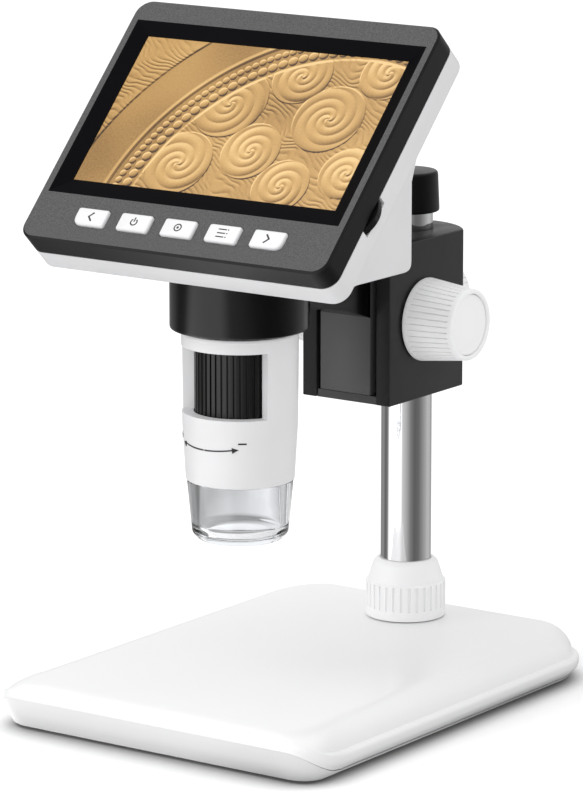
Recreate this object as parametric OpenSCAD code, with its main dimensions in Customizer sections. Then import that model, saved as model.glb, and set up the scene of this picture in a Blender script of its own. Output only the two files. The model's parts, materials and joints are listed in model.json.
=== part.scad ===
// Desktop digital microscope with a built-in screen on a pillar stand.
// Origin: centre of the base's footprint on the table. +Z up, the screen faces -Y, +X is its right.

/* [Base] */
// Width of the base across its rounded side bands
base_w = 119; // [112:1:138]
// Depth of the base over its side bands, without the front lip's overhang
base_d = 159; // [154:1:178]
// Height of the base's flat top above the table
base_h = 15; // [14:0.5:19]
// Plan radius of the rear corners
base_corner_r = 20; // [16:1:24]
// Plan radius of the front corners below the lip
front_corner_r = 11; // [9:1:14]
// Height of the rim above the table
rim_h = 8; // [7.5:0.5:9]
// Width of the ledge that the rim leaves round the cover
rim_ledge = 2; // [1.5:0.5:3]
// Inset of the bottom edge under the side bands
undercut = 3; // [2:0.5:4]
// Width of the cover's side roundings
cover_round_w = 9.5; // [6:0.5:12]
// Depth of the cover's front and rear roundings
cover_round_d = 3.5; // [2:0.5:6]
// Wall of the base's plastic shells
base_wall = 2.2; // [1.8:0.1:2.6]
// Drop of the raised front lip below the flat top
lip_drop = 1.6; // [1:0.2:2.4]
// Height of the front lip's edge above the rim
lip_rise = 2.5; // [1.5:0.5:3]
// Overhang of the front lip's edge beyond the side bands
lip_out = 1; // [0.5:0.5:2]
// Height of the seam between tray and cover above the tray's foot
seam_h = 1.4; // [1:0.1:1.8]
// Height of the tray above the table, the part of the feet that shows
foot_gap = 1; // [0.8:0.1:1.6]
// Radius of a rubber foot
foot_r = 7; // [5:0.5:8]
// Thickness of the steel ballast plate
weight_t = 5.5; // [3:0.5:6]

/* [Column] */
// Diameter of the chrome column
column_d = 16; // [14:0.5:17]
// Wall of the column tube
column_wall = 1.5; // [1:0.1:2.5]
// Distance from the column's axis to the rear edge of the base
column_inset = 23; // [21:1:27]
// Height of the tube's top above the block at rest
column_top = 12.7; // [12.7:0.5:30]
// Wall of the socket that the column stands in
socket_wall = 1.6; // [1.2:0.1:1.8]
// Height of the socket above the base
socket_h = 14; // [12:0.5:15]
// Radius of the collar nut at its ribs
collar_r = 12.65; // [12.2:0.05:15]
// Height of the collar nut
collar_h = 18.8; // [17:0.2:24]
// Length of the end cap below the tube's top
cap_skirt = 7.2; // [5:0.2:9]
// Height of the end cap
end_cap_h = 12.8; // [11:0.2:16]
// Radius of the end cap at its bottom edge
end_cap_r = 10; // [9.6:0.1:11]

/* [Focus block] */
// Width of the block
block_w = 32.6; // [31:0.2:38]
// Height of the block
block_h = 49.5; // [46:0.5:52]
// Height of the block's underside above the table
block_z = 89.8; // [84:0.2:91]
// Distance from the column's axis to the block's front face
block_front = 33.5; // [32.5:0.5:38]
// Distance from the column's axis to the block's rear side corners
block_side_back = 7; // [5:0.5:9]
// Radius of the block's curved back
block_back_r = 19.7; // [19:0.1:24]
// Width of the front channel between the flanges
channel_w = 22.2; // [21.4:0.2:23]
// Gap seen beside the carriage
channel_gap = 1.7; // [1:0.1:2]
// Depth of the channel in front of the T slot
channel_depth = 7; // [6:0.5:8]
// Reach of the T slot beyond the channel on each side
tee_reach = 2.4; // [1.6:0.2:2.8]
// Depth of the T slot
tee_depth = 5; // [4:0.2:5.4]
// Thickness of the stop plate at the channel's foot
stop_t = 2.5; // [2:0.1:3.5]
// Wall of the bush that runs on the column
bush_wall = 1.5; // [1:0.1:1.6]

/* [Focus drive] */
// Distance from the column's axis to the focus shaft
shaft_reach = 15.2; // [15:0.1:16]
// Radius of the focus shaft
shaft_r = 2.5; // [2:0.1:2.6]
// Teeth of the pinion
pinion_teeth = 14; // [13:1:14]
// Pitch of the rack's teeth
tooth_pitch = 1.5708; // [1.5:0.01:1.6]
// Width of the rack
rack_w = 8; // [6:0.5:9]
// Radius of a focus knob at its inner end
knob_r_in = 13; // [11.5:0.25:15]
// Radius of a focus knob at its outer end
knob_r_out = 11; // [10.25:0.25:11.25]
// Length of a focus knob
knob_l = 17; // [14:0.5:20]
// Grooves round a focus knob
knob_grooves = 40; // [30:1:46]
// Radius of the rear lock knob
lock_r = 8.3; // [7:0.1:9.5]
// Length of the rear lock knob
lock_l = 7.4; // [6:0.2:7.8]
// Radius of the lock screw
lock_screw_r = 2.5; // [2:0.1:3]

/* [Carriage and holder] */
// Height of the carriage
carriage_h = 44.4; // [42:0.2:46]
// Distance from the column's axis to the lens axis
lens_reach = 89; // [86:1:94]
// Height of the holder ring's underside above the block's underside
ring_lift = 32.2; // [31:0.2:34]
// Height of the holder ring
ring_h = 19.9; // [16:0.1:20.5]
// Outer radius of the holder ring
ring_r = 21; // [20.6:0.1:21]
// Wall of the holder ring
ring_wall = 2.5; // [2:0.1:2.8]
// Half width of the arm at the ring
arm_half = 8; // [7:0.1:9]
// Depth of the arm at the carriage
arm_h = 19.6; // [18:0.2:20]
// Rise of the arm's curved underside
arm_rise = 7.4; // [5:0.2:8]

/* [Screen head] */
// Tilt of the screen from lying flat
tilt = 46; // [44:1:48]
// Width of the screen head
head_w = 110.8; // [110:0.2:118]
// Height of the screen head along the screen
head_h = 89; // [88.6:0.2:92]
// Corner radius of the screen head
head_corner_r = 5; // [3:0.5:8]
// Height of the screen's centre above the wedge's underside
head_rise = 41.6; // [41:0.2:46]
// Height of the screen's centre above the middle of the head
screen_rise = 5.6; // [5.2:0.1:5.8]
// Depth of the black bezel from its face to the seam
bezel_depth = 7.8; // [7.2:0.1:9]
// Depth of the white rear shell's rim from the seam
shell_depth = 8.2; // [7.8:0.1:10]
// Height of the bezel's face above the glass
face_rise = 2.1; // [1.7:0.1:2.4]
// Thickness of the bezel's face
face_t = 1.6; // [1.3:0.1:1.7]
// Wall of the head's shells
head_wall = 1.8; // [1.5:0.1:2]
// Width of the active screen
active_w = 95; // [90:1:97]
// Height of the active screen
active_h = 53.9; // [50:0.1:56]
// Width of the sunken frame's opening in the face
recess_w = 105.2; // [104:0.2:105.4]
// Height of the sunken frame's opening in the face
recess_h = 64.6; // [63:0.2:65]
// Width of the wedge on the rear shell
wedge_w = 104; // [102.6:0.2:106]
// Distance from the lens axis to the wedge's rear face
wedge_back = 14.5; // [13.8:0.1:16]
// Radius of the wedge's lower rear edge
wedge_r = 3; // [2.2:0.1:5]

/* [Keys] */
// Distance between the middle keys
key_pitch = 16; // [15.6:0.1:16.2]
// Width of a middle key
key_w = 11.4; // [10:0.1:12.4]
// Width of an end key
end_key_w = 11.3; // [10:0.1:12.4]
// Height of the keys
key_h = 6.1; // [5.6:0.1:6.6]
// Height of the keys above the face
key_proud = 1; // [0.9:0.1:1.6]
// Distance of the keys below the screen's centre
key_drop = 41; // [40.7:0.1:41.3]
// Radius of the brightness wheel
wheel_r = 9; // [8:0.1:10]
// Reach of the brightness wheel beyond the head's side
wheel_proud = 1.3; // [0.8:0.1:1.8]
// Distance of the brightness wheel below the screen's centre
wheel_drop = 23; // [21:0.5:25]

/* [Optics] */
// Radius of the lens sleeve at its top edge
sleeve_r = 17.8; // [17.6:0.1:19]
// Radius of the lens sleeve at its foot
sleeve_foot_r = 16.3; // [16.2:0.1:16.8]
// Length of the lens sleeve
sleeve_h = 45.2; // [44.6:0.2:47]
// Radius of the bore that the focus ring turns in
sleeve_bore_r = 13.9; // [13.7:0.1:14.3]
// Height of the window in the sleeve
window_h = 20.1; // [16:0.1:20.5]
// Half angle of the window in the sleeve
window_half_angle = 64; // [50:1:75]
// Distance from the sleeve's foot to the window's sill
window_sill = 20.8; // [20.2:0.2:21.4]
// Grooves round the focus ring
ring_grooves = 44; // [30:1:50]
// Outer radius of the lens tube
tube_r = 10; // [9.6:0.1:10.2]
// Wall of the lens tube
tube_wall = 1.3; // [1:0.1:1.5]
// Travel of the lens carrier each way
carrier_travel = 3; // [2:0.5:3]
// Height of the clear cap below the sleeve
clear_h = 18.3; // [15:0.1:22]
// Radius of the clear cap at the sleeve
clear_r = 16; // [15.6:0.1:16.1]
// Radius of the clear cap above its bottom chamfer
clear_foot_r = 14.45; // [14:0.05:15.5]
// Radius of the clear cap's open mouth
mouth_r = 10.5; // [9.5:0.1:11.5]

/* [Hidden] */
$fn = 72;

// Overshoot of a cut, clearance of a pressed fit, of a fixed fit, of a running fit and of running faces
cut = 1;
press_gap = 0.02;
fit_gap = 0.1;
run_gap = 0.05;
face_gap = 0.3;

// Base levels and plan sizes
seat_z = rim_h - 2;
floor_z = foot_gap + base_wall;
ceiling_z = base_h - base_wall;
cover_w = base_w - 2 * rim_ledge;
cover_d = base_d - 2 * rim_ledge;
cover_r = base_corner_r - rim_ledge;
cavity_w = cover_w - 2 * base_wall;
cavity_d = cover_d - 2 * base_wall;
cavity_r = cover_r - base_wall;
rim_edge = 0.6;
lip_half = base_w / 2 - front_corner_r;
lip_z = rim_h + lip_rise;
lip_y = base_d / 2 + lip_out;
lip_run = 2.9;
lip_taper = 5;
lip_back = cover_d / 2 - 0.7 * cover_r;
seam_z = foot_gap + seam_h;
seam_start = base_d / 2 - base_corner_r;
level_t = 0.02;

// Side band: shares of its height and of the undercut, from the foot up
band_curve = [[0, 1], [0.2, 0.63], [0.42, 0.23], [0.66, 0], [0.83, 0]];
screw_head_r = 2.9;
screw_r = 1.5;
screw_boss_r = 4.2;
screw_inset = 11;
screw_x = cover_w / 2 - base_wall - 6;
screw_y = cover_d / 2 - screw_inset - screw_boss_r;
foot_x = screw_x - 4;
foot_y = screw_y - screw_boss_r - foot_r - 3;
weight_w = 2 * (screw_x - screw_boss_r - 1.5);

// Column, socket and collar
column_r = column_d / 2;
column_y = base_d / 2 - column_inset;
socket_r = column_r + socket_wall;
socket_floor_z = 16;
socket_top = base_h + socket_h;
flange_r = cover_d / 2 - base_wall - cover_round_d - column_y - face_gap;
flange_t = 3;
bolt_r = 3;
bolt_seat_z = 3.6;
washer_t = 0.6;
bolt_boss_r = 12.5;
collar_z = base_h + face_gap;
collar_top_r = column_r + 2;

// Block, from the column outwards
block_top = block_z + block_h;
tube_top = block_top + column_top;
end_cap_z = tube_top - cap_skirt;
bush_in_r = column_r + run_gap;
bush_out_r = column_r + bush_wall;
bush_z = block_z + 2;
bush_top = block_top - 2;
block_bore_r = column_r + 0.25;
block_front_y = column_y - block_front;
block_side_y = column_y + block_side_back;
block_arc_y = block_side_y - sqrt(pow(block_back_r, 2) - pow(block_w / 2, 2));
block_back_y = block_arc_y + block_back_r;
tee_w = channel_w + 2 * tee_reach;
tee_y = block_front_y + channel_depth;
tee_back_y = tee_y + tee_depth;

// Focus drive: the pinion's tooth gaps take the rack's teeth on the shaft's front side
shaft_y = column_y - shaft_reach;
shaft_z = block_z + block_h / 2;
pitch_r = pinion_teeth * tooth_pitch / (2 * PI);
tooth_above = 0.35;
tooth_below = 0.5;
tooth_half = 0.31;
flank = tan(20);
pocket_r = pitch_r + tooth_above + 0.55;
pocket_half = rack_w / 2 + 1.6;
bearing_r = shaft_r + 1.7;
bearing_l = 7;
rack_pitch_y = shaft_y - pitch_r;
knob_x = block_w / 2 + 0.6;
knob_end_x = knob_x + knob_l;
disc_recess = 1.6;
disc_t = 0.9;
disc_r = knob_r_out - 1.5;
lock_z = block_z + block_h / 2 + 2;
lock_y = block_back_y + 0.4;
lock_tip_y = column_y + bush_out_r + 2.2;

// Carriage and holder
carriage_w = channel_w - 2 * channel_gap;
carriage_z = block_z + stop_t + face_gap;
carriage_top = carriage_z + carriage_h;
carriage_y = block_front_y - 0.5;
rail_y = tee_y + face_gap;
rail_back_y = tee_back_y - face_gap;
lens_y = column_y - lens_reach;
ring_z = block_z + ring_lift;
ring_top = ring_z + ring_h;
liner_r = ring_r - ring_wall;
barrel_r = liner_r - 1.6;
arm_top = carriage_top - 0.4;
arm_z = arm_top - arm_h;
arm_screw_x = (rack_w + carriage_w) / 4;
arm_screw_r = 1.5;
arm_head_r = 2.4;
arm_head_seat = 2.2;
arm_screw_inset = 5;
arm_screw_bite = 7;

// Screen head: the local frame lies on the glass, x right, y up along the screen, z out of it
wedge_z = ring_top + face_gap;
head_z = wedge_z + head_rise;
head_mid = -screen_rise;
seam_n = face_rise - bezel_depth;
rear_n = seam_n - shell_depth;
plate_n = face_rise - face_t;
inner_w = head_w - 2 * head_wall;
inner_h = head_h - 2 * head_wall;
recess_mid = -0.95;
wedge_y = lens_y + wedge_back;
glass_t = 0.8;
lcd_t = 2.8;
head_screw_x = 46;
head_screw_top = head_mid + inner_h / 2 - 2.5;
head_screw_low = head_mid - inner_h / 2 + 1.7;
head_post_r = 2.4;
low_post_r = 2.2;

// Keys and inner boards
key_travel = 0.8;
key_round = 1;
end_key_round = 5.4;
key_flange = 0.7;
key_flange_t = 0.7;
key_top_n = face_rise + key_proud;
key_foot_n = plate_n - 0.2 - key_flange_t;
end_key_x = 2 * key_pitch;
switch_t = 1.1;
switch_n = key_foot_n - key_travel - 0.1;
board_t = 1;
key_board_n = switch_n - switch_t;
key_post_x = end_key_x + end_key_w / 2 + key_flange + 2.4;
main_n = rear_n + head_wall + 1.4;
main_t = 1.2;
main_w = inner_w - 4;
main_top = head_screw_top - head_post_r - 1;
main_low = -key_drop - 2;
main_post_x = main_w / 2 - 4.3;
main_post_top = main_top - 3;
main_post_low = main_low + 3;
wheel_t = 2.2;
wheel_n = seam_n - 0.5 - wheel_t;
wheel_x = head_w / 2 + wheel_proud - wheel_r;
wheel_slot = 2 * sqrt(2 * wheel_r * (wheel_proud + head_wall)) + 1;
pot_shaft_r = 1.5;
usb_y = 10;
usb_w = 8.6;
usb_t = 3;
usb_l = 7;
battery_t = 5.4;
battery_w = 60;
battery_h = 18;
key_board_h = 7.6;
switch_w = 5;
sensor_w = 22;
sensor_chip_w = 8;
sensor_t = 1;

// Optics, from the holder ring downwards
sleeve_top = ring_z - 0.7;
sleeve_z = sleeve_top - sleeve_h;
sleeve_sill_r = sleeve_foot_r + 1;
shoulder_z = sleeve_z + window_sill - 2.2;
led_seat_z = sleeve_z + 6.1;
window_z = sleeve_z + window_sill;
ring_foot_z = shoulder_z + face_gap;
spigot_h = 2;
ring_head_z = sleeve_top - spigot_h - face_gap;
focus_r = sleeve_bore_r - face_gap;
tube_foot_z = led_seat_z + 0.8;
barrel_web_t = 4;
barrel_cap_t = 3.2;
tube_top_z = wedge_z - barrel_cap_t;
carrier_r = tube_r - tube_wall - 0.06;
carrier_l = 20;
carrier_z = ring_foot_z - 2;
pin_r = 0.9;
pin_z = carrier_z + 14;
pin_reach = tube_r + 1.2;
pin_room = carrier_travel + pin_r + 0.3;
neck_spigot_r = 11;
sensor_z = wedge_z + head_wall + 2;
clear_z = sleeve_z - clear_h;
clear_spigot_z = led_seat_z - 1.5;
led_t = 1.1;
led_board_t = 1.2;
led_count = 8;
led_ring_r = mouth_r + 0.4;

// Plan outline: a rectangle with rounded corners
module plan(w, d, r) {
    square([w - 2 * r, d], center = true);
    square([w, d - 2 * r], center = true);
    for (sx = [-1, 1], sy = [-1, 1])
        translate([sx * (w / 2 - r), sy * (d / 2 - r)])
            circle(r);
}

// Rounded plate between two levels
module slab(w, d, r, z0, z1) {
    translate([0, 0, z0])
        linear_extrude(z1 - z0)
            plan(w, d, r);
}

// Cylinder between two levels
module rod(r, z0, z1) {
    translate([0, 0, z0])
        cylinder(r = r, h = z1 - z0);
}

// Tube between two levels
module pipe(r_out, r_in, z0, z1) {
    difference() {
        rod(r_out, z0, z1);
        rod(r_in, z0 - cut, z1 + cut);
    }
}

// Narrow grooves round an upright cone; lean is the cone's half angle
module grooves(count, r, lean, width, depth, z0, z1) {
    for (i = [0:count - 1])
        rotate([0, 0, 360 * i / count])
            translate([r, 0, z0])
                rotate([0, -lean, 0])
                    translate([-depth, -width / 2, 0])
                        cube([depth + cut, width, z1 - z0]);
}

// Pan-head screw whose head sits under z = 0 and whose shank goes up
module pan_screw(r, l, head_r, head_h) {
    rod(r, 0, l);
    difference() {
        rod(head_r, -head_h, 0);
        translate([-head_r * 0.6, -head_r * 0.12, -head_h - cut])
            cube([head_r * 1.2, head_r * 0.24, head_h * 0.5 + cut]);
        translate([-head_r * 0.12, -head_r * 0.6, -head_h - cut])
            cube([head_r * 0.24, head_r * 1.2, head_h * 0.5 + cut]);
    }
}

module at_screws() {
    for (sx = [-1, 1], sy = [-1, 0, 1])
        translate([sx * screw_x, sy * screw_y, 0])
            children();
}

module at_feet() {
    for (sx = [-1, 1], sy = [-1, 1])
        translate([sx * foot_x, sy * foot_y, 0])
            children();
}

module at_column() {
    translate([0, column_y, 0])
        children();
}

module at_lens() {
    translate([0, lens_y, 0])
        children();
}

// Child drawn with its own z axis along +X, through the focus shaft's axis
module at_shaft() {
    translate([0, shaft_y, shaft_z])
        rotate([0, 90, 0])
            children();
}

// Child drawn with its own z axis along +Y, through the lock screw's axis
module at_lock() {
    translate([0, 0, lock_z])
        rotate([-90, 0, 0])
            children();
}

// Child drawn in the screen head's frame
module in_head() {
    translate([0, lens_y, head_z])
        rotate([tilt, 0, 0])
            children();
}

// Rounded cover shape, shrunk by a wall on every side
module cover_shape(wall) {
    hull()
        for (k = [0:4])
            let (a = 90 * k / 4,
                w = cover_w - 2 * wall - 2 * cover_round_w * (1 - cos(a)),
                d = cover_d - 2 * wall - 2 * cover_round_d * (1 - cos(a)),
                z = rim_h + (base_h - rim_h - wall) * sin(a))
                slab(w, d, cover_r - wall, z - 0.02, z, $fn = 32);
}

// How far the base's front reaches at a level: a plane from the foot out to the lip's edge
function front_at(z) = base_d / 2 - undercut + (undercut + lip_out) * (z - foot_gap) / (lip_z - foot_gap);

// Height of the seam along the base: low at the sides, rising through the front corners to the lip
function seam_at(y) = seam_z + (lip_z - seam_z) * pow(max(0, y - seam_start) / (lip_y - seam_start), 2.2);

// Thin disc inside a corner of the outer form; side is -1 or 1
module corner_disc(side, r, reach, z, inset) {
    translate([side * (base_w / 2 - inset - r), reach, z])
        cylinder(r = r, h = level_t, $fn = 32);
}

// Front corner discs at a level
module front_discs(z, inset) {
    for (side = [-1, 1])
        corner_disc(side, front_corner_r, front_corner_r - front_at(z), z, inset);
}

// Rear corner discs at a level
module rear_discs(z, inset) {
    for (side = [-1, 1])
        corner_disc(side, base_corner_r - inset, base_d / 2 - base_corner_r, z, inset);
}

// Rounded side band from the foot to the rim
module side_band() {
    hull() {
        for (k = band_curve) {
            front_discs(foot_gap + k[0] * (rim_h - foot_gap), k[1] * undercut);
            rear_discs(foot_gap + k[0] * (rim_h - foot_gap), k[1] * undercut);
        }
        front_discs(rim_h - level_t, rim_edge);
        rear_discs(rim_h - level_t, rim_edge);
    }
}

// Thin bar across the front at a reach and height
module lip_bar(half, reach, z) {
    translate([-half, -reach, z - level_t])
        cube([2 * half, level_t, level_t]);
}

// Front of the base: from the rim out to the lip's edge and back to the cover's roll
module front_lip() {
    hull() {
        intersection() {
            cover_shape(0);
            translate([-base_w / 2, -base_d, 0])
                cube([base_w, base_d - lip_back, base_h]);
        }
        front_discs(rim_h - level_t, rim_edge);
        lip_bar(base_w / 2 - rim_edge, lip_back, rim_h);
        lip_bar(lip_half, lip_y, lip_z);
        lip_bar(lip_half - lip_taper, lip_y - lip_run, base_h - lip_drop);
    }
}

// Everything below the seam, moved up by a gap
module under_seam(gap) {
    steps = 8;
    run = lip_y - seam_start;
    curve = [for (k = [0:steps]) let (y = seam_start + run * k / steps) [-y, seam_at(y) + gap]];
    translate([-base_w, 0, 0])
        rotate([90, 0, 90])
            linear_extrude(2 * base_w)
                polygon(concat([[base_d, -cut], [base_d, seam_z + gap]], curve,
                    [[-base_d, lip_z + gap], [-base_d, -cut]]));
}

module base_cover() {
    color("white")
        difference() {
            union() {
                difference() {
                    union() {
                        cover_shape(0);
                        side_band();
                        front_lip();
                    }
                    under_seam(fit_gap / 2);
                    cover_shape(base_wall);
                    slab(cavity_w, cavity_d, cavity_r, 0, rim_h);
                }
                at_screws()
                    rod(screw_boss_r, seat_z, ceiling_z);
            }
            at_screws()
                rod(screw_r + run_gap, seat_z - cut, ceiling_z - 1);
            at_column()
                rod(socket_r + fit_gap, seat_z, base_h + cut);
        }
}

module base_tray() {
    color("white")
        difference() {
            union() {
                difference() {
                    intersection() {
                        union() {
                            side_band();
                            front_lip();
                        }
                        under_seam(-fit_gap / 2);
                    }
                    slab(cavity_w, cavity_d, cavity_r, floor_z, base_h);
                }
                slab(cavity_w - 2 * fit_gap, cavity_d - 2 * fit_gap, cavity_r - fit_gap, foot_gap, floor_z);
                at_screws()
                    rod(screw_boss_r, foot_gap, seat_z);
                at_column()
                    rod(bolt_boss_r, foot_gap, seat_z);
            }
            at_screws()
                rod(screw_head_r + fit_gap, 0, foot_gap + 2.4);
            at_screws()
                rod(screw_r + fit_gap, 0, seat_z + cut);
            at_feet()
                rod(foot_r, 0, foot_gap + 1.2);
            at_column()
                rod(6.5, 0, bolt_seat_z);
            at_column()
                rod(bolt_r + fit_gap, 0, seat_z + cut);
        }
}

module base_weight() {
    color("dimgray")
        translate([0, (weight_low() + weight_high()) / 2, 0])
            slab(weight_w, weight_high() - weight_low(), 4, floor_z, floor_z + weight_t);
}
function weight_low() = -cover_d / 2 + 8;
function weight_high() = column_y - flange_r - 3;

module rubber_feet() {
    color("#303030")
        at_feet()
            rod(foot_r, 0, foot_gap + 1.2);
}

module base_screws() {
    color("silver")
        at_screws()
            translate([0, 0, foot_gap + 2.4])
                pan_screw(screw_r, ceiling_z - foot_gap - 4.4, screw_head_r, 2);
}

module column_socket() {
    color("gray")
        at_column()
            difference() {
                union() {
                    rod(socket_r, seat_z, socket_top);
                    rod(flange_r, ceiling_z - flange_t, ceiling_z);
                }
                rod(column_r + press_gap, socket_floor_z, socket_top + cut);
                rod(bolt_r + press_gap, seat_z - cut, socket_floor_z - 1);
            }
}

module column_bolt() {
    color("silver")
        at_column()
            difference() {
                union() {
                    rod(bolt_r, bolt_seat_z - washer_t, socket_floor_z - 2);
                    rod(4.6, bolt_seat_z - washer_t - 1.8, bolt_seat_z - washer_t);
                }
                rod(1.8, 0, bolt_seat_z - washer_t - 0.6, $fn = 6);
            }
}

module column_washer() {
    color("silver")
        at_column()
            pipe(6, bolt_r + fit_gap, bolt_seat_z - washer_t, bolt_seat_z);
}

module column_tube() {
    color("gainsboro")
        at_column()
            pipe(column_r, column_r - column_wall, socket_floor_z, tube_top);
}

module column_end_cap() {
    color("#202020")
        at_column()
            difference() {
                translate([0, 0, end_cap_z])
                    rotate_extrude()
                        polygon([[0, 0], [end_cap_r - 0.6, 0], [end_cap_r, 0.6],
                            [end_cap_r - 0.55, end_cap_h - 1], [end_cap_r - 1.5, end_cap_h],
                            [0, end_cap_h]]);
                rod(column_r + press_gap, end_cap_z - cut, tube_top);
            }
}

module collar_nut() {
    rib_z0 = 3.1;
    rib_z1 = 11.2;
    color("white")
        at_column()
            difference() {
                translate([0, 0, collar_z])
                    rotate_extrude()
                        polygon([[0, 0], [collar_r, 0], [collar_r, rib_z1], [collar_r - 0.7, rib_z1],
                            [collar_r - 1.7, rib_z1 + 3.7], [collar_top_r, collar_h - 1.1 - face_gap],
                            [collar_top_r - 1.2, collar_h - face_gap], [0, collar_h - face_gap]]);
                rod(socket_r + run_gap, 0, socket_top + face_gap);
                rod(column_r + run_gap, 0, collar_z + collar_h + cut);
                grooves(32, collar_r, 0, 0.9, 0.5, collar_z + rib_z0, collar_z + rib_z1 + 0.5);
            }
}

module height_bush() {
    color("goldenrod")
        at_column()
            pipe(bush_out_r, bush_in_r, bush_z, bush_top);
}

// Plan of the block: straight sides and a bulging back
module block_plan() {
    translate([-block_w / 2, block_front_y])
        square([block_w, block_side_y - block_front_y]);
    intersection() {
        translate([0, block_arc_y])
            circle(block_back_r);
        translate([-block_w / 2, block_side_y - cut])
            square([block_w, block_back_r]);
    }
}

// Plan of the channel and its T slot, shrunk by a gap on every side
module channel_plan(gap) {
    translate([-channel_w / 2 + gap, block_front_y - cut])
        square([channel_w - 2 * gap, channel_depth + 2 * cut]);
    translate([-tee_w / 2 + gap, tee_y + gap])
        square([tee_w - 2 * gap, tee_depth - 2 * gap]);
}

module block_housing() {
    color("#404040")
        difference() {
            translate([0, 0, block_z])
                linear_extrude(block_h)
                    block_plan();
            translate([0, 0, block_z - cut])
                linear_extrude(block_h + 2 * cut)
                    channel_plan(0);
            translate([-rack_w / 2 - 0.6, tee_back_y - cut, block_z - cut])
                cube([rack_w + 1.2, rack_pitch_y + 0.8 - tee_back_y + cut, block_h + 2 * cut]);
            at_column()
                rod(block_bore_r, block_z - cut, block_top + cut);
            at_column()
                rod(bush_out_r + run_gap, bush_z - face_gap, bush_top + face_gap);
            at_shaft()
                rod(pocket_r, -pocket_half, pocket_half);
            at_shaft()
                rod(shaft_r + 0.3, -block_w, block_w);
            for (side = [-1, 1])
                at_shaft()
                    scale([1, 1, side])
                        rod(bearing_r, block_w / 2 - bearing_l, block_w / 2 + cut);
            at_lock()
                rod(lock_screw_r + run_gap, column_y, block_back_y + cut);
        }
}

module stop_plate() {
    color("#2b2b2b")
        translate([0, 0, block_z])
            linear_extrude(stop_t)
                difference() {
                    channel_plan(fit_gap);
                    translate([-block_w / 2, block_front_y - 2 * cut])
                        square([block_w, 2 * cut + 0.6]);
                }
}

module shaft_bushes() {
    color("goldenrod")
        for (side = [-1, 1])
            at_shaft()
                scale([1, 1, side])
                    pipe(bearing_r, shaft_r + run_gap, block_w / 2 - bearing_l, block_w / 2);
}

module lock_pad() {
    color("goldenrod")
        at_lock()
            intersection() {
                rod(lock_screw_r, column_y, lock_tip_y - 0.15);
                rotate([90, 0, 0])
                    translate([0, column_y, -lock_screw_r - cut])
                        difference() {
                            rod(bush_out_r + 6, 0, 2 * lock_screw_r + 2 * cut);
                            rod(bush_out_r + run_gap, -cut, 2 * lock_screw_r + 3 * cut);
                        }
            }
}

module lock_knob() {
    color("white")
        at_lock()
            difference() {
                translate([0, 0, lock_y])
                    rotate_extrude()
                        polygon([[0, 0], [lock_r - 0.5, 0], [lock_r, 0.5], [lock_r, lock_l - 0.8],
                            [lock_r - 0.8, lock_l], [0, lock_l]]);
                rod(lock_screw_r + press_gap, lock_y - cut, lock_y + lock_l - 2);
                grooves(30, lock_r, 0, 0.8, 0.5, lock_y + 1, lock_y + lock_l + cut);
            }
}

module lock_screw() {
    color("silver")
        at_lock()
            rod(lock_screw_r, lock_tip_y, lock_y + lock_l - 2);
}

module focus_shaft() {
    color("silver")
        at_shaft()
            rod(shaft_r, -knob_end_x + disc_recess + 1.4, knob_end_x - disc_recess - 1.4);
}

// Half width of a tooth at a height above its pitch line
function tooth_at(h) = tooth_half - h * flank;

module pinion_gear() {
    tooth = [[-1, -tooth_below], [-1, tooth_above], [1, tooth_above], [1, -tooth_below]];
    color("darkgoldenrod")
        at_shaft()
            difference() {
                translate([0, 0, -rack_w / 2])
                    linear_extrude(rack_w)
                        polygon([for (i = [0:pinion_teeth - 1], p = tooth)
                            let (h = p[1],
                                a = -90 + 360 * i / pinion_teeth
                                    + p[0] * tooth_at(h) / (pitch_r + h) * 180 / PI)
                                [(pitch_r + h) * cos(a), (pitch_r + h) * sin(a)]]);
                rod(shaft_r + press_gap, -rack_w, rack_w);
            }
}

// A focus knob drawn along +z from the block outwards
module knob_shape() {
    lean = atan((knob_r_in - knob_r_out) / knob_l);
    difference() {
        translate([0, 0, knob_x])
            rotate_extrude()
                polygon([[0, 0], [knob_r_in - 0.4, 0], [knob_r_in, 0.4], [knob_r_out, knob_l - 0.5],
                    [knob_r_out - 0.5, knob_l], [0, knob_l]]);
        rod(disc_r + fit_gap, knob_end_x - disc_recess, knob_end_x + cut);
        rod(shaft_r + press_gap, 0, knob_end_x);
        grooves(knob_grooves, knob_r_in, lean, 0.7, 0.5, knob_x + 1.6, knob_end_x - 1.6);
    }
}

// The end disc of a focus knob
module disc_shape() {
    rod(disc_r, knob_end_x - disc_recess, knob_end_x - disc_recess + disc_t);
}

module focus_knob_right() {
    color("white")
        at_shaft()
            knob_shape();
}

module focus_knob_left() {
    color("white")
        at_shaft()
            mirror([0, 0, 1])
                knob_shape();
}

module knob_disc_right() {
    color("whitesmoke")
        at_shaft()
            disc_shape();
}

module knob_disc_left() {
    color("whitesmoke")
        at_shaft()
            mirror([0, 0, 1])
                disc_shape();
}

module carriage_slide() {
    color("#505050")
        difference() {
            union() {
                translate([-carriage_w / 2, carriage_y, carriage_z])
                    cube([carriage_w, rail_y - carriage_y + cut, carriage_h]);
                translate([-tee_w / 2 + face_gap, rail_y, carriage_z])
                    cube([tee_w - 2 * face_gap, rail_back_y - rail_y, carriage_h]);
            }
            at_arm_screws() {
                rod(arm_screw_r + fit_gap, -cut, rail_back_y - carriage_y + 2 * cut);
                rod(arm_head_r + fit_gap, -cut, arm_head_seat);
            }
        }
}

// Child drawn with its own z axis along -Y, from the back of the carriage
module at_arm_screws() {
    for (sx = [-1, 1], z = [arm_z + arm_screw_inset, arm_top - arm_screw_inset])
        translate([sx * arm_screw_x, rail_back_y, z])
            rotate([90, 0, 0])
                children();
}

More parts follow.
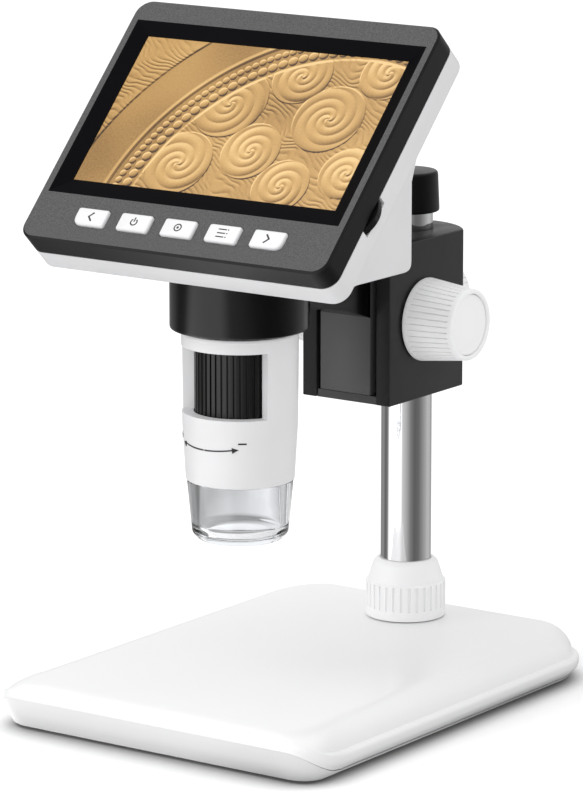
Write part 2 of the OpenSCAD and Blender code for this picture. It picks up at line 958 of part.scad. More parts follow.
module focus_rack() {
    rows = floor((carriage_h / 2 - 1) / tooth_pitch) - 1;
    base_z = carriage_z;
    color("darkgoldenrod")
        translate([-rack_w / 2, 0, 0])
            rotate([90, 0, 90])
                linear_extrude(rack_w)
                    polygon(concat([[rail_back_y, base_z], [rack_pitch_y - tooth_below, base_z]],
                        [for (i = [-rows:rows - 1], p = [[-1, -tooth_below], [-1, tooth_above],
                            [1, tooth_above], [1, -tooth_below]])
                            [rack_pitch_y + p[1],
                                shaft_z + (i + 0.5) * tooth_pitch + p[0] * tooth_at(p[1])]],
                        [[rack_pitch_y - tooth_below, carriage_top], [rail_back_y, carriage_top]]));
}

// Height of the arm's underside, a parabola that is level at the ring
function arm_low(y) = arm_z + arm_rise * (1 - pow((y - arm_end_y) / (carriage_y - arm_end_y), 2));
// Half width of the arm, which flares towards the carriage
function arm_side(y) = arm_half
    + (carriage_w / 2 - arm_half) * pow((y - arm_end_y) / (carriage_y - arm_end_y), 3);
arm_end_y = lens_y + liner_r - 2;

module holder_arm() {
    steps = 8;
    ys = [for (i = [0:steps]) arm_end_y + (carriage_y - arm_end_y) * i / steps];
    color("#262626")
        difference() {
            union() {
                intersection() {
                    rotate([90, 0, 90])
                        translate([0, 0, -block_w])
                            linear_extrude(2 * block_w)
                                polygon(concat([for (y = ys) [y, arm_low(y)]],
                                    [[carriage_y, arm_top], [arm_end_y, arm_top]]));
                    translate([0, 0, ring_z - ring_h])
                        linear_extrude(3 * ring_h)
                            polygon(concat([for (y = ys) [arm_side(y), y]],
                                [for (i = [steps:-1:0]) [-arm_side(ys[i]), ys[i]]]));
                }
                at_lens()
                    translate([0, 0, ring_z])
                        rotate_extrude()
                            polygon([[liner_r, 0], [ring_r - 0.8, 0], [ring_r, 0.8],
                                [ring_r, ring_h - 1.2], [ring_r - 1.2, ring_h], [liner_r, ring_h]]);
            }
            at_lens()
                rod(liner_r, ring_z - cut, ring_top + cut);
            at_arm_screws()
                rod(arm_screw_r + press_gap, 0, rail_back_y - carriage_y + arm_screw_bite + cut);
        }
}

module arm_screws() {
    color("silver")
        at_arm_screws()
            translate([0, 0, arm_head_seat])
                pan_screw(arm_screw_r, rail_back_y - carriage_y + arm_screw_bite - arm_head_seat,
                    arm_head_r, arm_head_seat - face_gap);
}

module ring_liner() {
    color("#3a3a3a")
        at_lens()
            pipe(liner_r, barrel_r + run_gap, ring_z, ring_top);
}

// Plan of the screen head, shrunk by a wall on every side
module head_plate(wall, n0, n1) {
    translate([0, head_mid, 0])
        slab(head_w - 2 * wall, head_h - 2 * wall, head_corner_r - wall, n0, n1);
}

// Box in the screen head's frame, centred on a point of the glass plane
module head_box(x, y, w, h, n0, n1) {
    translate([x - w / 2, y - h / 2, n0])
        cube([w, h, n1 - n0]);
}

module at_head_screws(top, low) {
    for (sx = [-1, 1]) {
        if (top)
            translate([sx * head_screw_x, head_screw_top, 0])
                children();
        if (low)
            translate([sx * head_screw_x, head_screw_low, 0])
                children();
    }
}

module at_key_posts() {
    for (sx = [-1, 1])
        translate([sx * key_post_x, -key_drop, 0])
            children();
}

module at_main_posts() {
    for (sx = [-1, 1], y = [main_post_low, main_post_top])
        translate([sx * main_post_x, y, 0])
            children();
}

// Outline of a key; side is -1 or 1 where its lower outer corner is fully rounded
module key_plan(w, side, grow) {
    kw = w + 2 * grow;
    kh = key_h + 2 * grow;
    big = end_key_round + grow;
    if (side == 0)
        plan(kw, kh, key_round + grow);
    else
        scale([side, 1])
            union() {
                difference() {
                    plan(kw, kh, key_round + grow);
                    translate([kw / 2 - big, -kh / 2 - cut])
                        square([big + cut, big + cut]);
                }
                intersection() {
                    translate([kw / 2 - big, -kh / 2 + big])
                        circle(big);
                    translate([kw / 2 - big - 0.01, -kh / 2 - cut])
                        square([big + cut, big + cut]);
                }
            }
}

// Place, width and rounded side of each key, left to right
key_places = [[-end_key_x, end_key_w, -1], [-key_pitch, key_w, 0], [0, key_w, 0],
    [key_pitch, key_w, 0], [end_key_x, end_key_w, 1]];

module key(i) {
    color("white")
        in_head()
            translate([key_places[i][0], -key_drop, 0]) {
                translate([0, 0, key_foot_n])
                    linear_extrude(key_top_n - key_foot_n)
                        key_plan(key_places[i][1], key_places[i][2], 0);
                translate([0, 0, key_foot_n])
                    linear_extrude(key_flange_t)
                        key_plan(key_places[i][1], key_places[i][2], key_flange);
            }
}

module front_bezel() {
    color("#4a4a4a")
        in_head()
            difference() {
                union() {
                    difference() {
                        head_plate(0, seam_n, face_rise);
                        head_plate(head_wall, seam_n - cut, plate_n);
                    }
                    at_head_screws(true, false)
                        rod(head_post_r, seam_n, plate_n);
                    at_head_screws(false, true)
                        rod(low_post_r, seam_n, plate_n);
                    at_key_posts()
                        rod(1.6, key_board_n, plate_n);
                }
                head_box(0, recess_mid, recess_w, recess_h, plate_n - cut, face_rise + cut);
                for (k = key_places)
                    translate([k[0], -key_drop, plate_n - cut])
                        linear_extrude(face_t + 2 * cut)
                            key_plan(k[1], k[2], 0.2);
                at_head_screws(true, true)
                    rod(1 + run_gap, seam_n - cut, plate_n - 1);
                at_key_posts()
                    rod(0.9 + run_gap, key_board_n - cut, plate_n - 0.8);
            }
}

module screen_frame() {
    color("#1c1c1c")
        in_head()
            difference() {
                union() {
                    head_box(0, recess_mid, recess_w - 2 * fit_gap, recess_h - 2 * fit_gap, 0, face_rise);
                    head_box(0, recess_mid, inner_w - 1, recess_h + 1, 0, plate_n);
                }
                hull() {
                    head_box(0, 0, active_w, active_h, -0.02, 0);
                    head_box(0, recess_mid, recess_w - 0.6, recess_h - 0.6, face_rise, face_rise + cut);
                }
                head_box(0, 0, active_w, active_h, -cut, cut / 2);
            }
}

module display_glass() {
    color("lightsteelblue")
        in_head()
            head_box(0, recess_mid, inner_w - 3, recess_h - 1, -glass_t, 0);
}

module lcd_panel() {
    color("darkgoldenrod")
        in_head()
            head_box(0, recess_mid, inner_w - 4, recess_h - 2, -glass_t - lcd_t, -glass_t);
}

module key_board() {
    color("darkgreen")
        in_head()
            difference() {
                head_box(0, -key_drop, 2 * key_post_x + 4, key_board_h, key_board_n - board_t, key_board_n);
                at_key_posts()
                    rod(1, key_board_n - 2 * board_t, key_board_n + cut);
            }
}

module tact_switches() {
    color("dimgray")
        in_head()
            for (k = key_places)
                head_box(k[0], -key_drop, switch_w, switch_w, key_board_n, key_board_n + switch_t);
}

module board_screws() {
    color("silver")
        in_head() {
            at_key_posts()
                translate([0, 0, key_board_n - board_t])
                    pan_screw(0.9, board_t + 1.6, 1.8, 1);
            at_main_posts()
                translate([0, 0, main_n + main_t])
                    mirror([0, 0, 1])
                        pan_screw(0.9, main_t + 1.2, 1.8, 1);
        }
}

module key_back() {
    key(0);
}

module key_power() {
    key(1);
}

module key_ok() {
    key(2);
}

module key_menu() {
    key(3);
}

module key_next() {
    key(4);
}

module main_board() {
    color("darkgreen")
        in_head()
            difference() {
                head_box(0, (main_top + main_low) / 2, main_w, main_top - main_low, main_n, main_n + main_t);
                at_main_posts()
                    rod(1, main_n - cut, main_n + main_t + cut);
            }
}

module wheel_pot() {
    color("dimgray")
        in_head()
            translate([wheel_x, -wheel_drop, 0]) {
                rod(4, main_n + main_t, wheel_n - 0.1);
                rod(pot_shaft_r, main_n + main_t, wheel_n + wheel_t + 0.2);
            }
}

module brightness_wheel() {
    color("#202020")
        in_head()
            translate([wheel_x, -wheel_drop, 0])
                difference() {
                    rod(wheel_r, wheel_n, wheel_n + wheel_t);
                    rod(pot_shaft_r + run_gap, wheel_n - cut, wheel_n + wheel_t + cut);
                }
}

module usb_port() {
    color("silver")
        in_head()
            translate([-head_w / 2 + 0.5, 0, 0])
                difference() {
                    head_box(usb_l / 2, usb_y, usb_l, usb_w, main_n + main_t, main_n + main_t + usb_t);
                    head_box(usb_l / 2 - 1, usb_y, usb_l, usb_w - 0.8, main_n + main_t + 0.4,
                        main_n + main_t + usb_t - 0.4);
                }
}

module battery() {
    color("slategray")
        translate([-battery_w / 2, wedge_y - head_wall - battery_t, sensor_z + sensor_t + 1.4])
            cube([battery_w, battery_t, battery_h]);
}

module sensor_board() {
    color("darkgreen")
        at_lens() {
            translate([-sensor_w / 2, -sensor_w / 2, sensor_z])
                cube([sensor_w, sensor_w, sensor_t]);
            translate([-sensor_chip_w / 2, -sensor_chip_w / 2, sensor_z - sensor_t])
                cube([sensor_chip_w, sensor_chip_w, sensor_t]);
        }
}

// Height at which a plane parallel to the screen passes over a place behind the lens axis
function plane_z(y, n) = head_z + (n + (y - lens_y) * sin(tilt)) / cos(tilt);
// Place at which that plane comes down to a height
function plane_y(z, n) = lens_y + ((z - head_z) * cos(tilt) - n) / sin(tilt);

// Wedge behind the screen, shrunk by a wall, up to a plane parallel to the screen
module wedge(wall, n) {
    r = wedge_r - wall;
    y1 = wedge_y - wall;
    z0 = wedge_z + wall;
    rotate([90, 0, 90])
        translate([0, 0, -wedge_w / 2 + wall])
            linear_extrude(wedge_w - 2 * wall)
                polygon(concat([[plane_y(z0, n), z0]],
                    [for (a = [-90:15:0]) [y1 - r + r * cos(a), z0 + r + r * sin(a)]],
                    [[y1, plane_z(y1, n)]]));
}

module rear_shell() {
    color("white")
        difference() {
            union() {
                difference() {
                    union() {
                        in_head()
                            head_plate(0, rear_n, seam_n);
                        wedge(0, rear_n + head_wall / 2);
                    }
                    in_head()
                        head_plate(head_wall, rear_n + head_wall, seam_n + cut);
                    wedge(head_wall, rear_n + head_wall + 0.5);
                }
                in_head() {
                    at_head_screws(true, false)
                        rod(head_post_r, rear_n, seam_n);
                    at_head_screws(false, true)
                        rod(low_post_r, rear_n, seam_n);
                }
                intersection() {
                    in_head()
                        at_main_posts()
                            rod(2.4, rear_n - 12, main_n);
                    union() {
                        in_head()
                            head_plate(0, rear_n, seam_n);
                        wedge(0, rear_n + head_wall / 2);
                    }
                }
            }
            in_head() {
                at_head_screws(true, true)
                    rod(1 + fit_gap, rear_n - 4, seam_n + cut);
                at_head_screws(true, true)
                    rod(2, rear_n - 4, rear_n + 2);
                at_main_posts()
                    rod(0.9 + run_gap, main_n - 1.3, main_n + cut);
                head_box(head_w / 2, -wheel_drop, 4 * head_wall, wheel_slot,
                    wheel_n - 0.4, seam_n + cut);
                head_box(-head_w / 2, usb_y, 4 * head_wall, usb_w + 0.6, main_n + main_t - 0.3,
                    main_n + main_t + usb_t + 0.3);
            }
            at_lens()
                rod(neck_spigot_r + fit_gap, wedge_z - cut, wedge_z + head_wall + cut);
        }
}

module head_screws() {
    color("silver")
        in_head()
            at_head_screws(true, true)
                translate([0, 0, rear_n + 2])
                    pan_screw(1, plate_n - rear_n - 4, 1.9, 1.4);
}

module neck_barrel() {
    color("#2a2a2a")
        at_lens()
            difference() {
                union() {
                    rod(barrel_r, sleeve_top, wedge_z);
                    rod(sleeve_bore_r - press_gap, sleeve_top - spigot_h, sleeve_top);
                    rod(neck_spigot_r, wedge_z, sensor_z);
                }
                rod(tube_r + press_gap, sleeve_top - spigot_h - cut, tube_top_z);
                rod(tube_r + 2, sleeve_top - spigot_h - cut, ring_z);
                rod(sleeve_bore_r, ring_z + barrel_web_t, tube_top_z);
                rod(tube_r - tube_wall, tube_top_z - cut, sensor_z + cut);
            }
}

module lens_tube() {
    color("#1e1e1e")
        at_lens()
            difference() {
                rod(tube_r, tube_foot_z, tube_top_z);
                rod(tube_r - tube_wall, tube_foot_z - cut, tube_top_z + cut);
                translate([0, -pin_r - fit_gap, pin_z - pin_room])
                    cube([tube_r + cut, 2 * pin_r + 2 * fit_gap, 2 * pin_room]);
            }
}

// Sector of the window, seen from the front of the sleeve
module window_sector(half, r) {
    polygon(concat([[0, 0]],
        [for (a = [-90 - half:half / 4:-90 + half]) [r * cos(a), r * sin(a)]]));
}

module lens_sleeve() {
    sill_at = window_sill - 4;
    color("white")
        at_lens()
            difference() {
                translate([0, 0, sleeve_z])
                    rotate_extrude()
                        polygon([[0, 0], [sleeve_foot_r - 0.3, 0], [sleeve_foot_r, 0.3],
                            [sleeve_sill_r, sill_at], [sleeve_r - 0.2, sleeve_h - 1],
                            [sleeve_r, sleeve_h - 0.8], [sleeve_r, sleeve_h], [0, sleeve_h]]);
                rod(sleeve_bore_r, sleeve_z - cut, led_seat_z);
                rod(tube_r + 0.4, sleeve_z, shoulder_z + cut);
                rod(sleeve_bore_r, shoulder_z, sleeve_top + cut);
                translate([0, 0, window_z])
                    linear_extrude(window_h)
                        window_sector(window_half_angle, 2 * sleeve_r);
            }
}

module focus_ring() {
    color("#242424")
        at_lens()
            difference() {
                rod(focus_r, ring_foot_z, ring_head_z);
                rod(tube_r + run_gap, ring_foot_z - cut, ring_head_z + cut);
                rod(pin_reach + face_gap, pin_z - pin_room, pin_z + pin_room);
                grooves(ring_grooves, focus_r, 0, 0.9, 0.7, ring_foot_z + 2.2, ring_head_z - 2.2);
            }
}

module lens_carrier() {
    color("#303030")
        at_lens()
            difference() {
                union() {
                    rod(carrier_r, carrier_z, carrier_z + carrier_l);
                    translate([0, 0, pin_z])
                        rotate([0, 90, 0])
                            rod(pin_r, carrier_r - 1.5, pin_reach);
                }
                rod(carrier_r - 2.1, carrier_z - cut, carrier_z + carrier_l + cut);
            }
}

module lens_elements() {
    color("lightblue")
        at_lens() {
            rod(carrier_r - 2.1, carrier_z + 1, carrier_z + 4);
            rod(carrier_r - 2.1, carrier_z + carrier_l - 4, carrier_z + carrier_l - 1.5);
        }
}

module led_board() {
    color("darkgreen")
        at_lens()
            pipe(sleeve_bore_r - press_gap, tube_r - tube_wall, led_seat_z - led_board_t, led_seat_z);
}

module led_chips() {
    color("lightyellow")
        at_lens()
            for (i = [0:led_count - 1])
                rotate([0, 0, 360 * (i + 0.5) / led_count])
                    translate([led_ring_r - 1, -1, led_seat_z - led_board_t - led_t])
                        cube([2, 2, led_t]);
}

module clear_cap() {
    bore = mouth_r + 1.9;
    spigot_r = sleeve_bore_r - press_gap;
    color("lightcyan", 0.5)
        at_lens()
            rotate_extrude()
                polygon([[mouth_r, clear_z], [clear_foot_r - 1.95, clear_z],
                    [clear_foot_r, clear_z + 1.9], [clear_r, sleeve_z], [spigot_r, sleeve_z],
                    [spigot_r, clear_spigot_z], [bore, clear_spigot_z],
                    [bore, clear_z + 3.6], [mouth_r, clear_z + 2]]);
}

base_cover();
base_tray();
base_weight();
rubber_feet();
base_screws();
column_socket();
column_bolt();
column_washer();
column_tube();
column_end_cap();
collar_nut();
height_bush();
block_housing();
stop_plate();
shaft_bushes();
lock_pad();
lock_knob();
lock_screw();
focus_shaft();
pinion_gear();
focus_knob_right();
focus_knob_left();
knob_disc_right();
knob_disc_left();
carriage_slide();
focus_rack();
holder_arm();
arm_screws();
ring_liner();
front_bezel();
screen_frame();
display_glass();
lcd_panel();
key_board();
tact_switches();
board_screws();
key_back();
key_power();
key_ok();
key_menu();
key_next();
main_board();
wheel_pot();
brightness_wheel();
usb_port();
battery();
sensor_board();
rear_shell();
head_screws();
neck_barrel();
lens_sleeve();
focus_ring();
lens_tube();
lens_carrier();
lens_elements();
led_board();
led_chips();
clear_cap();
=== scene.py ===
import json
import math
import bmesh
import bpy
from mathutils import Matrix, Vector


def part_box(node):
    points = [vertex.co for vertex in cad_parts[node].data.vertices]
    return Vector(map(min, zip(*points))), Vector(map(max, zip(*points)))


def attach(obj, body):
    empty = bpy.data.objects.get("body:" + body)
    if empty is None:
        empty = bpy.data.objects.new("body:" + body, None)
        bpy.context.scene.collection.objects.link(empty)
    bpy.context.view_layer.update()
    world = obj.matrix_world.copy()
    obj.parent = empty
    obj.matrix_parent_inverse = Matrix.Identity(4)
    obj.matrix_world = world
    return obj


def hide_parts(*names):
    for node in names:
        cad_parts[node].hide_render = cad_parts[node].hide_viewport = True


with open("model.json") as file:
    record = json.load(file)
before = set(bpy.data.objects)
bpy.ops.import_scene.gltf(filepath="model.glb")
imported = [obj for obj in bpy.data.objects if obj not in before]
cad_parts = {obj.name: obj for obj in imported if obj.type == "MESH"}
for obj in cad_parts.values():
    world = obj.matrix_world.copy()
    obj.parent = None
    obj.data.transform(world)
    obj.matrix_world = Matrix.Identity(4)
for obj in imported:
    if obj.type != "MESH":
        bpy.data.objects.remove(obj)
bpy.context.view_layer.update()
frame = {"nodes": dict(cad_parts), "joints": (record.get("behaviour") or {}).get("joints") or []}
nodes = frame["nodes"]

MM = 0.001
NEAR = 0.01  # two places are the same within this many millimetres
QUARTER = math.pi / 2


# ---- places from the frame

def joint(name):
    return next(j for j in frame["joints"] if j["name"] == name)


def span(node):
    """Lowest and highest corner of a CAD piece, in millimetres."""
    low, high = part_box(node)
    return low / MM, high / MM


def half_width(low, high):
    return (high.x - low.x) / 2


column_low, column_high = span("column_tube")
block_low, block_high = span("block_housing")
carriage_low, carriage_high = span("carriage_slide")
ring_low, ring_high = span("ring_liner")
sleeve_low, sleeve_high = span("lens_sleeve")
collar_low, collar_high = span("collar_nut")
end_cap_low, end_cap_high = span("column_end_cap")
clear_low, clear_high = span("clear_cap")
focus_low, focus_high = span("focus_ring")
knob_low, knob_high = span("focus_knob_right")
lock_low, lock_high = span("lock_knob")

base_top = span("base_cover")[1].z
base_foot = span("base_tray")[0].z
column_y = (column_low.y + column_high.y) / 2
column_r = half_width(column_low, column_high)
lens_y = joint("head_turn")["pos_m"][1] / MM
shaft_y, shaft_z = [v / MM for v in joint("focus_turn")["pos_m"][1:]]

# The screen head's own frame: x right, y up along the screen, z out of the glass
out_of_screen = -Vector(joint("ok_press")["axis"])
tilt = math.atan2(-out_of_screen.y, out_of_screen.z)
screen_z = 183.8
head_frame = Matrix.Translation(Vector((0, lens_y, screen_z)) * MM) @ Matrix.Rotation(tilt, 4, "X")

# Base, outermost at the side bands: sides, rear and lip, and the centres of its corners
base_side = 59.5
base_rear = 79.5
lip_reach = 80.5
front_corner = Vector((48.5, 69.5))
rear_corner = Vector((39.5, 59.5))
foot_side = base_side - 3.0
seam_side = base_side - 2.0
seam_side_z = 2.4
seam_gap = 0.11
lip_z = 10.5
roll_z = 13.2
rim_z = 8.1

# Block: half the width of the channel that the carriage slides in
channel = 11.1

# Screen head, in its own frame: levels of face, seam and back, then its outline
face_n = 2.1
seam_n = -5.7
rear_n = -13.9
head_w = 110.8
head_top = 38.9
head_foot = -50.1
head_corner = 5.0
recess = (-52.6, 52.6, -33.25, 31.35)
active = (-47.5, 47.5, -26.95, 26.95)
wheel_y = -23.0

# Wedge behind the head, and the ring that holds it
wedge_w = 104.0
wedge_z = ring_high.z + 0.3
wedge_y = lens_y + 14.5
ring_r = 21.0
ring_inner = 18.5

# Keys: middle, width, the side of a fully rounded corner, and body
key_y = -41.0
key_h = 6.1
key_pitch = 16.0
key_w = 11.4
end_key_w = 11.3
keys = {"key_back": (-2 * key_pitch, end_key_w, -1, "back_key"), "key_power": (-key_pitch, key_w, 0, "power_key"),
        "key_ok": (0.0, key_w, 0, "ok_key"), "key_menu": (key_pitch, key_w, 0, "menu_key"),
        "key_next": (2 * key_pitch, end_key_w, 1, "next_key")}

# Sleeve and clear cap: inner radius, and the foot of the sleeve's wall
sleeve_bore = 13.9
sleeve_foot_r = 16.3
sleeve_foot_h = 16.8


# ---- node trees

class Number:
    """A number in a node tree, reckoned with as in a formula."""

    def __init__(self, tree, socket):
        self.tree, self.socket = tree, socket

    def step(self, kind, *others):
        return reckon(self.tree, kind, self, *others)

    def __add__(self, other):
        return self.step("ADD", other)

    def __sub__(self, other):
        return self.step("SUBTRACT", other)

    def __rsub__(self, other):
        return reckon(self.tree, "SUBTRACT", other, self)

    def __mul__(self, other):
        return self.step("MULTIPLY", other)

    def __truediv__(self, other):
        return self.step("DIVIDE", other)

    def __abs__(self):
        return self.step("ABSOLUTE")


def reckon(tree, kind, *values):
    """One step of arithmetic on plain values and numbers of the tree."""
    made = tree.nodes.new("ShaderNodeMath")
    made.operation = kind
    for slot, value in zip(made.inputs, values):
        if isinstance(value, Number):
            tree.links.new(value.socket, slot)
        else:
            slot.default_value = value
    return Number(tree, made.outputs[0])


def place_node(tree, kind, **values):
    """A new node; each value sets or feeds the input of its name, or sets a property."""
    made = tree.nodes.new(kind)
    for name, value in values.items():
        slot = name.replace("_", " ")
        value = value.socket if isinstance(value, Number) else value
        if slot not in made.inputs:
            setattr(made, name, value)
        elif isinstance(value, bpy.types.NodeSocket):
            tree.links.new(value, made.inputs[slot])
        else:
            made.inputs[slot].default_value = value
    return made


def coordinates(tree, place):
    """The X, Y and Z of a place."""
    parts = place_node(tree, "ShaderNodeSeparateXYZ", Vector=place)
    return [Number(tree, parts.outputs[axis]) for axis in "XYZ"]


def own_place(tree, kind="Object"):
    return place_node(tree, "ShaderNodeTexCoord").outputs[kind]


def grain(tree, scale, detail, stretch=(1, 1, 1)):
    """Fine noise over the piece's own place in metres."""
    turn = place_node(tree, "ShaderNodeMapping", Vector=own_place(tree), Scale=stretch)
    return place_node(tree, "ShaderNodeTexNoise", Vector=turn.outputs["Vector"], Scale=scale,
                      Detail=detail).outputs["Fac"]


def ramp(tree, fac, *stops):
    """A colour that runs along a factor through (place, colour) stops."""
    made = place_node(tree, "ShaderNodeValToRGB", Fac=fac)
    elements = made.color_ramp.elements
    for end, (place, color) in zip(elements, (stops[0], stops[-1])):
        end.position, end.color = place, (*color, 1)
    for place, color in stops[1:-1]:
        elements.new(place).color = (*color, 1)
    return made.outputs["Color"]


def blend(tree, fac, low, high, start, end):
    return ramp(tree, fac, (start, low), (end, high))


def smooth_step(low, high, value):
    """0 below the low value, 1 above the high one, and smooth between."""
    made = place_node(value.tree, "ShaderNodeMapRange", interpolation_type="SMOOTHSTEP", From_Min=low,
                      From_Max=high, Value=value)
    return Number(value.tree, made.outputs["Result"])


def run_over(tree, fac, first, second):
    """One shader run over into another along a factor."""
    made = tree.nodes.new("ShaderNodeMixShader")
    for slot, source in zip(made.inputs, (fac, first, second)):
        tree.links.new(source, slot)
    return made.outputs[0]


def shaded(color, share):
    return tuple(c * share for c in color)


def grey(level):
    return (level, level, level)


# ---- materials

def shader(name, color, roughness, metallic=0.0, coat=0.0):
    """A new material with its main shader, and the node tree to add detail to."""
    made = bpy.data.materials.new(name)
    made.use_nodes = True
    tree = made.node_tree
    main = tree.nodes["Principled BSDF"]
    main.inputs["Base Color"].default_value = (*color, 1)
    main.inputs["Roughness"].default_value = roughness
    main.inputs["Metallic"].default_value = metallic
    main.inputs["Coat Weight"].default_value = coat
    main.inputs["Coat Roughness"].default_value = 0.1
    return made, tree, main


def color_range(tree, main, fac, low, high, start=0.3, end=0.7):
    tree.links.new(blend(tree, fac, low, high, start, end), main.inputs["Base Color"])


def rough_range(tree, main, fac, low, high):
    made = place_node(tree, "ShaderNodeMapRange", To_Min=low, To_Max=high, Value=fac)
    tree.links.new(made.outputs["Result"], main.inputs["Roughness"])


def bump(tree, main, fac, strength):
    made = place_node(tree, "ShaderNodeBump", Strength=strength, Distance=0.0002, Height=fac)
    tree.links.new(made.outputs["Normal"], main.inputs["Normal"])


def moulded(name, color, roughness, shade=0.94, texture=0.05, scale=900, gloss=0.5):
    """Moulded plastic: a faint mottle, an uneven gloss and a very fine skin."""
    made, tree, main = shader(name, color, roughness)
    main.inputs["Specular IOR Level"].default_value = gloss
    color_range(tree, main, grain(tree, 40, 2), shaded(color, shade), color)
    rough_range(tree, main, grain(tree, 160, 3), roughness * 0.85, roughness * 1.2)
    bump(tree, main, grain(tree, scale, 2), texture)
    return made


def polished_white(name, color, roughness):
    """Bright plastic with an even gloss and a hardly visible mottle."""
    made, tree, main = shader(name, color, roughness, coat=0.1)
    color_range(tree, main, grain(tree, 30, 1), color, shaded(color, 1.01))
    return made


def brushed(name, color, roughness, stretch):
    """Worked metal with fine lines that run along one direction."""
    made, tree, main = shader(name, color, roughness, metallic=1.0)
    lines = grain(tree, 300, 4, stretch)
    color_range(tree, main, lines, shaded(color, 0.9), color)
    rough_range(tree, main, lines, roughness * 0.8, roughness * 1.3)
    return made


def speckled(name, low, high, roughness, scale, depth):
    """A grained face: fine pale specks on a dark ground."""
    made, tree, main = shader(name, high, roughness)
    specks = grain(tree, scale, 6)
    color_range(tree, main, specks, low, high, 0.36, 0.64)
    rough_range(tree, main, specks, roughness * 0.85, roughness * 1.15)
    bump(tree, main, specks, depth)
    return made


def clear(name, color, roughness, bending, scale, low, high):
    """Clear plastic or glass with a faint cast and a nearly even polish."""
    made, tree, main = shader(name, color, roughness)
    main.inputs["Transmission Weight"].default_value = 1.0
    main.inputs["IOR"].default_value = bending
    rough_range(tree, main, grain(tree, scale, 2), low, high)
    return made


shell_white = moulded("shell_white", (0.77, 0.77, 0.78), 0.38)
sleeve_white = moulded("sleeve_white", (0.80, 0.80, 0.81), 0.38)
key_white = moulded("key_white", (0.80, 0.80, 0.81), 0.3)
base_white = polished_white("base_white", (0.865, 0.865, 0.87), 0.3)
knob_white = moulded("knob_white", (0.95, 0.95, 0.955), 0.4, shade=0.97)
bezel_face = speckled("bezel_face", (0.044, 0.044, 0.045), (0.092, 0.092, 0.094), 0.6, 2600, 0.25)
bezel_side = moulded("bezel_side", (0.010, 0.010, 0.011), 0.32, shade=0.8, texture=0.08, gloss=0.15)
frame_black = moulded("frame_black", (0.004, 0.004, 0.005), 0.45, shade=0.8, texture=0.03, gloss=0.02)
ring_black = moulded("ring_black", (0.002, 0.002, 0.002), 0.18, shade=0.8, texture=0.03, gloss=0.3)
block_charcoal = moulded("block_charcoal", (0.021, 0.021, 0.022), 0.42, shade=0.85, texture=0.1, gloss=0.4)
# A copy of the block's black with far less gloss, so that the faces that carry it render darker: painted shade.
block_polished = moulded("block_polished", (0.021, 0.021, 0.022), 0.3, shade=0.85, texture=0.01, gloss=0.06)
carriage_grey = moulded("carriage_grey", (0.050, 0.050, 0.051), 0.4, shade=0.85, texture=0.1, gloss=0.4)
cap_black = moulded("cap_black", (0.004, 0.004, 0.004), 0.34, shade=0.8, texture=0.06, gloss=0.2)
ribbed_black = moulded("ribbed_black", (0.005, 0.005, 0.005), 0.32, shade=0.8, texture=0.08, gloss=0.35)
foot_rubber = moulded("foot_rubber", (0.03, 0.03, 0.03), 0.7, shade=0.8, texture=0.3, scale=2000)
part_grey = moulded("part_grey", (0.25, 0.25, 0.27), 0.5)
mark_ink = moulded("mark_ink", (0.012, 0.012, 0.012), 0.5)
board_green = speckled("board_green", (0.01, 0.09, 0.04), (0.02, 0.16, 0.07), 0.4, 900, 0.05)
chrome = brushed("chrome", (0.78, 0.78, 0.79), 0.07, (1, 1, 0.02))
steel = brushed("steel", (0.55, 0.55, 0.56), 0.3, (1, 1, 0.05))
brass = brushed("brass", (0.72, 0.52, 0.2), 0.28, (1, 1, 0.05))
led_yellow = moulded("led_yellow", (0.95, 0.9, 0.6), 0.25)
clear_plastic = clear("clear_plastic", (0.975, 0.985, 1.0), 0.03, 1.45, 200, 0.02, 0.05)
lens_glass = clear("lens_glass", (0.75, 0.85, 0.95), 0.02, 1.5, 300, 0.01, 0.03)


# ---- modelling by hand

def object_mode():
    if bpy.context.object and bpy.context.object.mode != "OBJECT":
        bpy.ops.object.mode_set(mode="OBJECT")


def clear_selection():
    """Nothing selected, so that an operator acts on the new piece alone."""
    object_mode()
    bpy.ops.object.select_all(action="DESELECT")


def take(piece):
    clear_selection()
    piece.select_set(True)
    bpy.context.view_layer.objects.active = piece


def edit(kind):
    bpy.ops.object.mode_set(mode="EDIT")
    bpy.ops.mesh.select_mode(type=kind)


def select_where(kind, test):
    """Selects the verts, edges or faces of the mesh in hand that pass a test."""
    bpy.ops.mesh.select_all(action="DESELECT")
    mesh = bmesh.from_edit_mesh(bpy.context.object.data)
    mesh.verts.index_update()
    for item in getattr(mesh, kind):
        item.select_set(bool(test(item)))
    bmesh.update_edit_mesh(bpy.context.object.data)


def pick_verts(test):
    """Selects the points whose place passes the test, in millimetres."""
    select_where("verts", lambda vert: test(vert.co / MM))


def pick_edges(test):
    """Selects the edges whose ends pass the test, in millimetres."""
    select_where("edges", lambda edge: test(*(vert.co / MM for vert in edge.verts)))


def pick_faces(piece, test):
    """Edit mode with the faces whose middle and normal pass the test, in millimetres."""
    take(piece)
    edit("FACE")
    select_where("faces", lambda face: test(face.calc_center_median() / MM, face.normal))


def towards_viewer(middle, normal):
    """Whether a face of the head, still in its own frame, looks out of the screen."""
    return normal.z > 0.9


def bar(low, high):
    """A cube drawn out between two corners in millimetres."""
    clear_selection()
    low, high = Vector(low), Vector(high)
    bpy.ops.mesh.primitive_cube_add(size=1, location=(low + high) / 2 * MM, scale=(high - low) * MM)
    piece = bpy.context.object
    bpy.ops.object.transform_apply(location=True, rotation=True, scale=True)
    return piece


def upright(a, b):
    return abs(a.x - b.x) < NEAR and abs(a.y - b.y) < NEAR and abs(a.z - b.z) > NEAR


def round_edges(piece, test, radius, segments):
    """Rounds the edges of a piece that pass a test."""
    take(piece)
    edit("EDGE")
    pick_edges(test)
    bpy.ops.mesh.bevel(offset=radius * MM, segments=segments, affect="EDGES")
    object_mode()
    return piece


